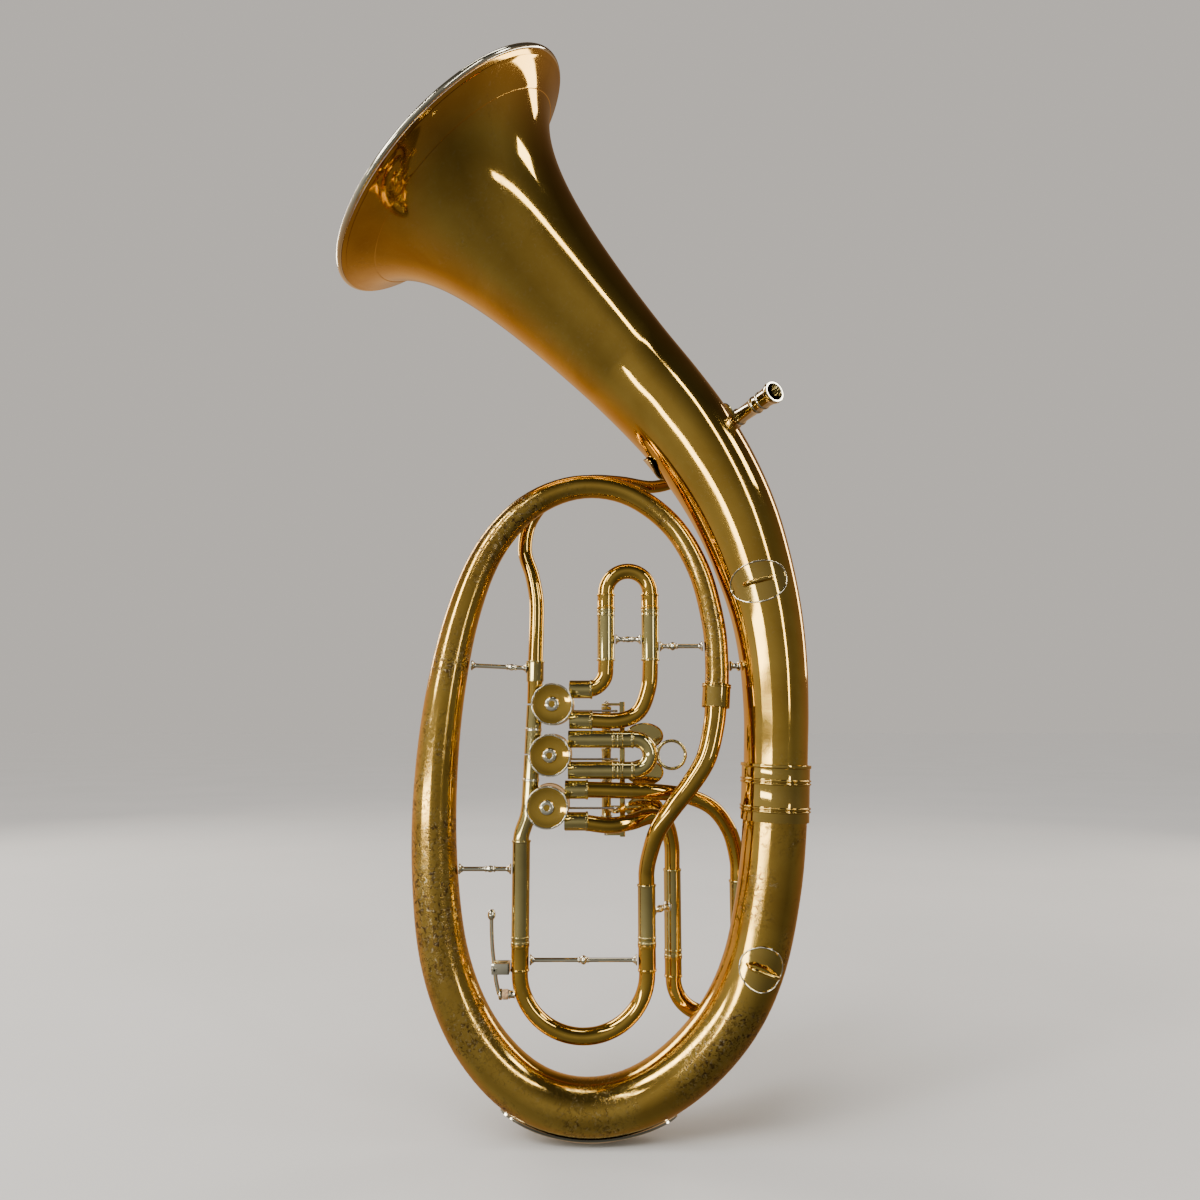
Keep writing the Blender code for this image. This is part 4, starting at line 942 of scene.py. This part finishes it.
def dress_first_slide():
    """First valve slide and the tubes that it joins."""
    centre = valve_centre(0)
    entry = [
        (centre.x + 3.0, 0.0, centre.z + PORT_OFFSET),
        (centre.x + 15.0, 0.0, centre.z + PORT_OFFSET),
        (centre.x + 24.0, 0.0, centre.z + PORT_OFFSET + 0.8),
        (centre.x + 29.8, 0.0, centre.z + PORT_OFFSET + 6.6),
        (FIRST_LEFT_X, 0.0, FIRST_FOOT_Z - 1.2),
    ]
    leave = [
        (centre.x + 3.0, 0.0, centre.z - PORT_OFFSET),
        (centre.x + 20.0, 0.0, centre.z - PORT_OFFSET),
        (centre.x + 38.0, 0.0, centre.z - PORT_OFFSET - 0.3),
        (centre.x + 50.0, 0.0, centre.z - 4.0),
        (centre.x + 55.8, 0.0, centre.z + 10.0),
        (FIRST_RIGHT_X, 0.0, FIRST_FOOT_Z - 1.2),
    ]
    for node, points, x, level in (
        ("first_entry_tube", entry, FIRST_LEFT_X, PORT_OFFSET),
        ("first_exit_tube", leave, FIRST_RIGHT_X, -PORT_OFFSET),
    ):
        foot = (x, 0.0, FIRST_FOOT_Z)
        dress_bent_tube(node, points, foot, (x, 0.0, FIRST_SHOULDER_Z), 0, level)
    shoulders = [(x, 0.0, FIRST_SHOULDER_Z) for x in (FIRST_LEFT_X, FIRST_RIGHT_X)]
    stands_for("first_slide", crook(*shoulders, UP, 28.0, 9.5), BRASS)
    edge = SLEEVE_RADIUS + CLEARANCE
    cross = baluster(
        (FIRST_LEFT_X + edge, 0.0, FIRST_BRACE_Z), (FIRST_RIGHT_X - edge, 0.0, FIRST_BRACE_Z),
        bead=1.9,
    )
    stands_for("first_slide_brace", cross, BRIGHT)
    stay = baluster(
        (FIRST_RIGHT_X + edge, 0.0, FIRST_STAY_Z), (60.4, -1.6, FIRST_STAY_Z), bead_at=0.3,
    )
    stands_for("first_bow_brace", stay, BRIGHT)


def dress_second_slide():
    """Second valve slide with its pull ring, and the sleeves that it runs in."""
    centre = valve_centre(1)
    levels = (PORT_OFFSET, -PORT_OFFSET)
    for node, level in zip(("second_entry_tube", "second_exit_tube"), levels):
        start = (centre.x + 10.0, 0.0, centre.z + level)
        end = (SECOND_SHOULDER_X, 0.0, centre.z + level)
        stands_for(node, outer_sleeve(start, end, foot_ring=False), NICKEL)
    shoulders = [(SECOND_SHOULDER_X, 0.0, centre.z + level) for level in levels]
    slide = crook(*shoulders, RIGHT, 18.0, 8.5)
    ring_x = SECOND_SHOULDER_X + 9.0 + PORT_OFFSET + TUBE_RADIUS + 7.9
    wire = [
        (8.0 + 0.95 * math.cos(a), 0.95 * math.sin(a))
        for a in (math.radians(30.0 * corner) for corner in range(12))
    ]
    pull = lathe(wire, (ring_x, 1.0, centre.z), BACK, 64)
    stands_for("second_slide", merged(slide, pull), NICKEL)


def dress_third_slide():
    """Third valve slide behind the bow, and its long bent tubes."""
    centre = valve_centre(2)
    upper = centre.z + PORT_OFFSET
    entry = [
        (centre.x + 3.0, 0.0, upper),
        (-5.0, 0.0, upper),
        (14.0, 0.5, upper - 0.6),
        (34.0, 4.0, upper - 1.6),
        (52.0, 9.5, upper - 4.6),
        (67.0, 15.0, upper - 12.0),
        (77.0, 20.5, upper - 25.5),
        (81.6, 23.6, upper - 42.0),
        (THIRD_RIGHT_X, THIRD_Y, upper - 53.0),
    ]
    lower = centre.z - PORT_OFFSET
    leave = [
        (centre.x + 3.0, 0.0, lower),
        (-10.0, 0.0, lower - 0.6),
        (5.0, 1.2, lower - 2.4),
        (18.0, 5.4, lower - 1.0),
        (29.5, 11.5, lower + 1.6),
        (38.5, 17.5, lower - 2.0),
        (42.6, 22.4, lower - 15.0),
        (THIRD_LEFT_X, THIRD_Y, lower - 28.7),
    ]
    shoulders = []
    for node, points, x, level in (
        ("third_exit_tube", leave, THIRD_LEFT_X, -PORT_OFFSET),
        ("third_entry_tube", entry, THIRD_RIGHT_X, PORT_OFFSET),
    ):
        shoulder = (x, THIRD_Y, THIRD_SHOULDER_Z)
        start = (x, THIRD_Y, points[-1][2] - 1.2)
        dress_bent_tube(node, points, start, shoulder, 2, level)
        shoulders.append(shoulder)
    stands_for("third_slide", crook(*shoulders, -UP, 36.0, 12.0), BRASS)
    first = Vector((TUNING_RIGHT_X, 0.0, THIRD_BRACE_Z))
    second = Vector((THIRD_LEFT_X, THIRD_Y, THIRD_BRACE_Z))
    edge = (second - first).normalized() * (SLEEVE_RADIUS + CLEARANCE)
    stands_for("third_slide_brace", baluster(first + edge, second - edge, bead=2.2), BRIGHT)


def dress_tuning_slide():
    """Main tuning slide, its sleeves and its brace."""
    for side, x, foot in (
        ("left", TUNING_LEFT_X, TUNING_LEFT_FOOT_Z), ("right", TUNING_RIGHT_X, TUNING_RIGHT_FOOT_Z),
    ):
        shape = outer_sleeve((x, 0.0, foot), (x, 0.0, TUNING_SHOULDER_Z))
        stands_for(f"tuning_outer_sleeve_{side}", shape, NICKEL)
    shoulders = [(x, 0.0, TUNING_SHOULDER_Z) for x in (TUNING_LEFT_X, TUNING_RIGHT_X)]
    stands_for("tuning_slide", crook(*shoulders, -UP, 24.0, 15.0, 0.94), BRASS)
    edge = SLEEVE_RADIUS + CLEARANCE
    cross = baluster(
        (TUNING_LEFT_X + edge, 0.0, TUNING_BRACE_Z), (TUNING_RIGHT_X - edge, 0.0, TUNING_BRACE_Z),
        radius=1.2,
    )
    stands_for("tuning_slide_brace", cross, BRIGHT)


# ---------------------------------------------------------------- water key and fittings

def dress_water_key():
    """Water key, its saddle and cork, and the nipple that the cork closes."""
    axis = WATER_KEY_AXIS
    near = TUNING_LEFT_X - SLEEVE_RADIUS - CLEARANCE
    cheeks = [
        block((axis.x - 1.8, min(low, high), axis.z - 2.6), (near, max(low, high), axis.z + 3.4))
        for low, high in ((-4.4, -3.2), (3.2, 4.4))
    ]
    back = block((near - 1.2, -4.4, axis.z - 2.6), (near, 4.4, axis.z + 3.4))
    reach = Vector((0.0, 5.0, 0.0))
    pin = bar(axis - reach, axis + reach, 0.9)
    heads = [
        bar(axis + sign * reach * 0.88, axis + sign * reach, 1.5) for sign in (-1.0, 1.0)
    ]
    stands_for("water_key_saddle", merged(*cheeks, back, pin, *heads), BRIGHT)
    side = Vector((0.0, 2.8, 0.0))
    barrel = lathe([(1.25, -2.8), (2.2, -2.8), (2.2, 2.8), (1.25, 2.8)], axis, side, 32, 0.2)
    top = [(-59.4, 0.0, 94.5), (-60.6, 0.0, 104.0), (-61.2, 0.0, 113.0), (-61.4, 0.0, 121.0)]
    upper = sweep([(*point, 1.1) for point in smooth(top, 5)], 0.0, 20)
    knob = lathe(
        [(0.0, 0.0), (1.3, 0.0), (2.0, 1.0), (2.3, 2.4), (2.0, 4.2), (1.1, 5.4), (0.0, 5.6)],
        (-61.5, 0.0, 119.3), (0.05, 0.0, 1.0), 28, 0.3,
    )
    cup_x = NIPPLE_X - 2.0 * CLEARANCE - WATER_KEY_CORK_DEPTH
    middle = (cup_x - 1.6, 0.0, WATER_KEY_CORK_Z)
    low = [(-58.9, 0.0, 91.4), (-58.4, 0.0, 87.0), (-57.4, 0.0, 82.6), middle]
    lower = sweep([(*point, 1.15) for point in smooth(low, 5)], 0.0, 20)
    cup = lathe(
        [(0.0, -0.2), (1.8, 0.0), (2.8, 0.4), (3.0, 0.9), (3.0, 2.0), (0.0, 2.0)],
        (cup_x - 2.0, 0.0, WATER_KEY_CORK_Z), RIGHT, 36, 0.2,
    )
    stands_for("water_key", merged(barrel, upper, knob, lower, cup), BRIGHT)
    cork_x = cup_x + CLEARANCE
    cork_end = (cork_x + WATER_KEY_CORK_DEPTH, 0.0, WATER_KEY_CORK_Z)
    cork = bar((cork_x, 0.0, WATER_KEY_CORK_Z), cork_end, 2.8, 32, 0.5)
    stands_for("water_key_cork", cork, CORK)
    nipple = lathe(
        [(1.2, 0.0), (2.4, 0.0), (2.4, 0.6), (2.0, 1.0), (2.0, 2.6), (2.4, 3.4), (1.2, 3.4)],
        (NIPPLE_X, 0.0, WATER_KEY_CORK_Z), RIGHT, 32, 0.2,
    )
    shown("water_key_nipple", nipple, BRIGHT, "tuning_slide")


def hook_bar(centre, side, front, tube_radius, half_width=8.0, height=8.2):
    """A flat arched bar for a carrying hook, its feet on the curved strap plate."""
    drop = tube_radius - math.sqrt(tube_radius ** 2 - half_width ** 2)
    corners = [
        (-half_width, -drop - 0.2), (-half_width, height * 0.55), (-half_width * 0.86, height * 0.86),
        (-half_width * 0.5, height), (half_width * 0.5, height), (half_width * 0.86, height * 0.86),
        (half_width, height * 0.55), (half_width, -drop - 0.2),
    ]
    points = [
        (*(centre + across * side + out * front), 1.05)
        for across, out in smooth(corners, 5)
    ]
    return sweep(points, 0.0, 20)


def dress_strap_fittings():
    """Two oval plates on the tubing, each with a bar for a hook."""
    fittings = (
        ("upper_strap_plate", route_section(bell_tail_route(), 5, 12.0),
         (math.radians(46.0), 12.0, math.radians(12.0))),
        ("lower_strap_plate", route_section(BOW_ROUTE, 3),
         (math.radians(40.0), 12.0, math.radians(-3.0))),
    )
    for node, section, outline in fittings:
        plate = hugging_plate(section, outline, 0.55, 0.5, raised=0.25, edge=0.93)
        centre, side, front, radius = section(0.0)
        angle = outline[2]
        out = math.sin(angle) * side + math.cos(angle) * front
        around = math.cos(angle) * side - math.sin(angle) * front
        arch = hook_bar(centre + out * (radius + 0.9), around, out, radius)
        stands_for(node, merged(plate, arch), WARM_NICKEL)
        shown(f"{node}_edge", plate_edge(section, outline, 1.25, 0.4), BRIGHT, BODY_OF[node])


def dress_braces():
    """The turned braces beside the bow, and the short one between bow and bell."""
    braces = (
        ("leadpipe_brace", (-75.6, 0.0, 263.0), (-42.8, 0.0, 261.4), 0.72),
        ("tuning_sleeve_brace", (-80.4, 0.0, 147.0), (-50.7, 0.0, 147.0), 0.6),
    )
    for node, start, end, bead_at in braces:
        stands_for(node, baluster(start, end, bead=2.0, bead_at=bead_at), BRIGHT)
    start = Vector((75.9, -2.2, 262.5))
    end = Vector((81.7, -1.2, 262.5))
    length = (end - start).length
    profile = [
        (0.0, 0.0), (3.0, 0.0), (3.0, 0.7), (1.6, 1.7), (1.6, length - 1.7),
        (3.0, length - 0.7), (3.0, length), (0.0, length),
    ]
    stands_for("bell_bow_brace", lathe(profile, start, end - start, 32, 0.3), BRIGHT)


# ---------------------------------------------------------------- lever action

def lever_tip(index):
    """Where a lever's short arm ends at rest."""
    half = LEVER_SWING / 2.0
    level = valve_centre(index).z - STOP_PIN_REACH * math.sin(math.radians(45.0))
    return Vector((
        HINGE_X + LEVER_ARM * math.sin(half), HINGE_Y - LEVER_ARM * math.cos(half), level,
    ))


def paddle(centre, thickness):
    """An oval touch plate, slightly crowned, with a rounded edge."""
    long_half, wide_half = PADDLE_SIZE
    profile = [
        (0.0, 0.0), (0.9, 0.0), (0.98, thickness * 0.25), (1.0, thickness * 0.55),
        (0.97, thickness * 0.85), (0.9, thickness), (0.6, thickness), (0.0, thickness * 0.9),
    ]
    shape = lathe(profile, (0.0, 0.0, 0.0), BACK, 72, 0.0)
    for vertex in shape.verts:
        x, y, z = vertex.co
        vertex.co = Vector(centre) + Vector((x * long_half, y, z * wide_half))
    return shape


def coil(centre, radius, wire, low, high, turns):
    """A helical spring round the vertical hinge."""
    steps = turns * 20
    rows = []
    for step in range(steps + 1):
        angle = 2.0 * math.pi * turns * step / steps
        level = low + (high - low) * step / steps
        rows.append((
            centre.x + radius * math.cos(angle), centre.y + radius * math.sin(angle), level, wire,
        ))
    return sweep(rows, 0.0, 10)


def dress_lever(index):
    """A lever with its hinge tube, arm, touch plate, short arm and return spring."""
    level = RACK_TOP_Z - RACK_PITCH * (index + 0.5)
    touch = PADDLE_TOP_Z - PADDLE_PITCH * index
    half = LEVER_TUBE_LENGTH / 2.0
    hinge = Vector((HINGE_X, HINGE_Y, level))
    barrel = lathe(
        [(1.9, -half), (3.2, -half), (3.2, -half + 1.6), (2.9, -half + 2.0), (2.9, half - 2.0),
         (3.2, half - 1.6), (3.2, half), (1.9, half)],
        hinge, UP, 48, 0.2,
    )
    arm = block(
        (HINGE_X + 2.3, HINGE_Y - 0.9, touch - 2.2), (PADDLE_CENTRE_X, HINGE_Y + 0.9, touch + 2.2),
    )
    plate = paddle((PADDLE_CENTRE_X, HINGE_Y + 0.1, touch), 1.8)
    tip = lever_tip(index)
    root = Vector((HINGE_X, HINGE_Y, tip.z))
    short = bar(root + (tip - root).normalized() * 2.4, tip, 1.1)
    eye = bar(tip - UP, tip + UP, 2.0, 28)
    piece = stands_for(f"lever_{index + 1}", merged(barrel, arm, plate, short, eye), NICKEL)
    low = level - half + 2.6
    spring = coil(hinge, 3.45, 0.3, low, low + 6.0, 8)
    shown(f"return_spring_{index + 1}", spring, STEEL, BODY_OF[f"lever_{index + 1}"])
    return piece


def dress_link(index):
    """The flat link between a lever's short arm and its stop arm."""
    tip = lever_tip(index)
    pin_x = valve_centre(index).x + STOP_PIN_REACH * math.sin(math.radians(45.0))
    low = tip.z + 1.3
    high = low + 1.5
    middle = block((pin_x, tip.y - 0.9, low + 0.1), (tip.x, tip.y + 0.9, high - 0.1), 0.3)
    ends = [bar((x, tip.y, low), (x, tip.y, high), 1.5, 28) for x in (pin_x, tip.x)]
    stands_for(f"link_{index + 1}", merged(middle, *ends), STEEL)


def dress_lever_rack():
    """The rack with its posts and struts, and the hinge rod."""
    bar_x = 13.6
    bar_y = 29.0
    bottom = RACK_TOP_Z - RACK_PITCH * VALVE_COUNT
    spine = block(
        (bar_x - 1.6, bar_y - 1.5, bottom - 1.5), (bar_x + 1.6, bar_y + 1.5, RACK_TOP_Z + 1.5),
    )
    posts = []
    for index in range(VALVE_COUNT + 1):
        level = RACK_TOP_Z - RACK_PITCH * index
        posts.append(block(
            (HINGE_X, bar_y - 1.2, level - 0.7), (bar_x + 1.3, HINGE_Y, level + 0.7), 0.3,
        ))
        posts.append(lathe(
            [(1.8, -0.7), (3.0, -0.7), (3.0, 0.7), (1.8, 0.7)],
            (HINGE_X, HINGE_Y, level), UP, 40, 0.2,
        ))
    struts = [
        baluster(
            (bar_x, TUBE_RADIUS + 1.0, level), (bar_x, bar_y, level), radius=1.5, foot=1.6, bead=2.1,
        )
        for level in (valve_centre(0).z - PORT_OFFSET, valve_centre(2).z + PORT_OFFSET)
    ]
    stands_for("lever_rack", merged(spine, *posts, *struts), NICKEL)
    length = RACK_PITCH * VALVE_COUNT + 5.0
    profile = [
        (0.0, 0.0), (1.1, 0.0), (1.45, 0.4), (1.45, length - 0.4), (1.1, length), (0.0, length),
    ]
    rod = lathe(profile, (HINGE_X, HINGE_Y, bottom - 2.5), UP, 32, 0.15)
    stands_for("hinge_rod", rod, STEEL)


def keep_small_nodes():
    """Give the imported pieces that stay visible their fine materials."""
    finishes = {
        "brass": BRASS, "nickel": NICKEL, "steel": STEEL, "cork": CORK,
    }
    for node in frame["nodes"].values():
        if node.hide_render:
            continue
        name = node.data.materials[0].name if node.data.materials else ""
        for key, finish in finishes.items():
            if key in name and not name.endswith("_fine"):
                node.data.materials[0] = finish


# ---------------------------------------------------------------- studio

def build_floor():
    """A plain pale floor that the metal doesn't mirror."""
    material, tree, shader, add = new_material("pale_floor")
    where = add("ShaderNodeTexCoord").outputs["Object"]
    tone = ramp(add, noise(add, where, 3.0), 0.3, 0.7)
    colour = mixed(add, tone, (0.47, 0.465, 0.45, 1.0), (0.50, 0.49, 0.475, 1.0))
    tree.links.new(colour, shader.inputs["Base Color"])
    shader.inputs["Roughness"].default_value = 0.75
    bpy.ops.mesh.primitive_plane_add(size=FLOOR_SIZE)
    floor = bpy.context.object
    floor.name = "floor"
    floor.data.materials.append(material)
    floor.visible_glossy = False


def build_surround():
    """A plain backdrop for the camera, and the soft room that lights and mirrors see."""
    world = bpy.data.worlds.new("studio")
    bpy.context.scene.world = world
    world.use_nodes = True
    tree = world.node_tree
    add = node_adder(tree)
    where = add("ShaderNodeTexCoord").outputs["Generated"]
    split = add("ShaderNodeSeparateXYZ", {"Vector": where}).outputs
    across = ramp(add, split["X"], -0.8, 0.8, *ROOM_ACROSS)
    depth = ramp(add, split["Y"], -0.5, 0.9, *ROOM_DEPTH)
    above = ramp(add, split["Z"], 0.1, 0.7, *ROOM_ABOVE)
    below = ramp(add, split["Z"], -0.6, -0.05, *ROOM_BELOW)
    room = product(add, product(add, across, depth), product(add, above, below))
    warmth = ramp(add, split["Y"], -0.3, 0.6)
    hue = mixed(add, warmth, ROOM_FRONT, ROOM_BACK)
    seen = add("ShaderNodeLightPath").outputs["Is Camera Ray"]
    mirrored = mixed(add, room, (0.0, 0.0, 0.0, 1.0), hue)
    colour = mixed(add, seen, mirrored, BACKDROP_TONE)
    tree.links.new(colour, tree.nodes["Background"].inputs["Color"])


def build_lights():
    """One wide sky panel and the softboxes, all aimed at the horn."""
    sun = bpy.data.lights.new("sky_panel", "SUN")
    sun.energy = SUN_STRENGTH
    sun.angle = SUN_SPREAD
    panel = bpy.data.objects.new("sky_panel", sun)
    panel.visible_glossy = False
    panel.rotation_euler = Vector(SUN_PLACE).to_track_quat("Z", "Y").to_euler()
    bpy.context.scene.collection.objects.link(panel)
    target = place((0.0, 0.0, 300.0))
    for index, (spot, width, height, power, colour) in enumerate(SOFTBOXES):
        lamp = bpy.data.lights.new(f"softbox_{index + 1}", "AREA")
        lamp.shape = "RECTANGLE"
        lamp.size = width
        lamp.size_y = height
        lamp.energy = power
        lamp.color = colour
        holder = bpy.data.objects.new(lamp.name, lamp)
        holder.location = spot
        holder.rotation_euler = (target - Vector(spot)).to_track_quat("-Z", "Y").to_euler()
        bpy.context.scene.collection.objects.link(holder)


def build_camera():
    """The camera in front of the horn, tilted up a little."""
    lens = bpy.data.cameras.new("camera")
    lens.lens = CAMERA_LENS
    lens.sensor_width = 36.0
    camera = bpy.data.objects.new("camera", lens)
    camera.location = place(CAMERA_PLACE)
    camera.rotation_euler = (math.radians(90.0) + CAMERA_PITCH_UP, 0.0, 0.0)
    bpy.context.scene.collection.objects.link(camera)
    bpy.context.scene.camera = camera


build_floor()
build_surround()
build_lights()
build_camera()
dress_bell()
dress_bow()
dress_passages()
for valve in range(VALVE_COUNT):
    dress_valve(valve)
    dress_stop_arm(valve)
dress_leadpipe()
dress_first_slide()
dress_second_slide()
dress_third_slide()
dress_tuning_slide()
dress_water_key()
dress_strap_fittings()
dress_braces()
for valve in range(VALVE_COUNT):
    dress_lever(valve)
    dress_link(valve)
dress_lever_rack()
keep_small_nodes()
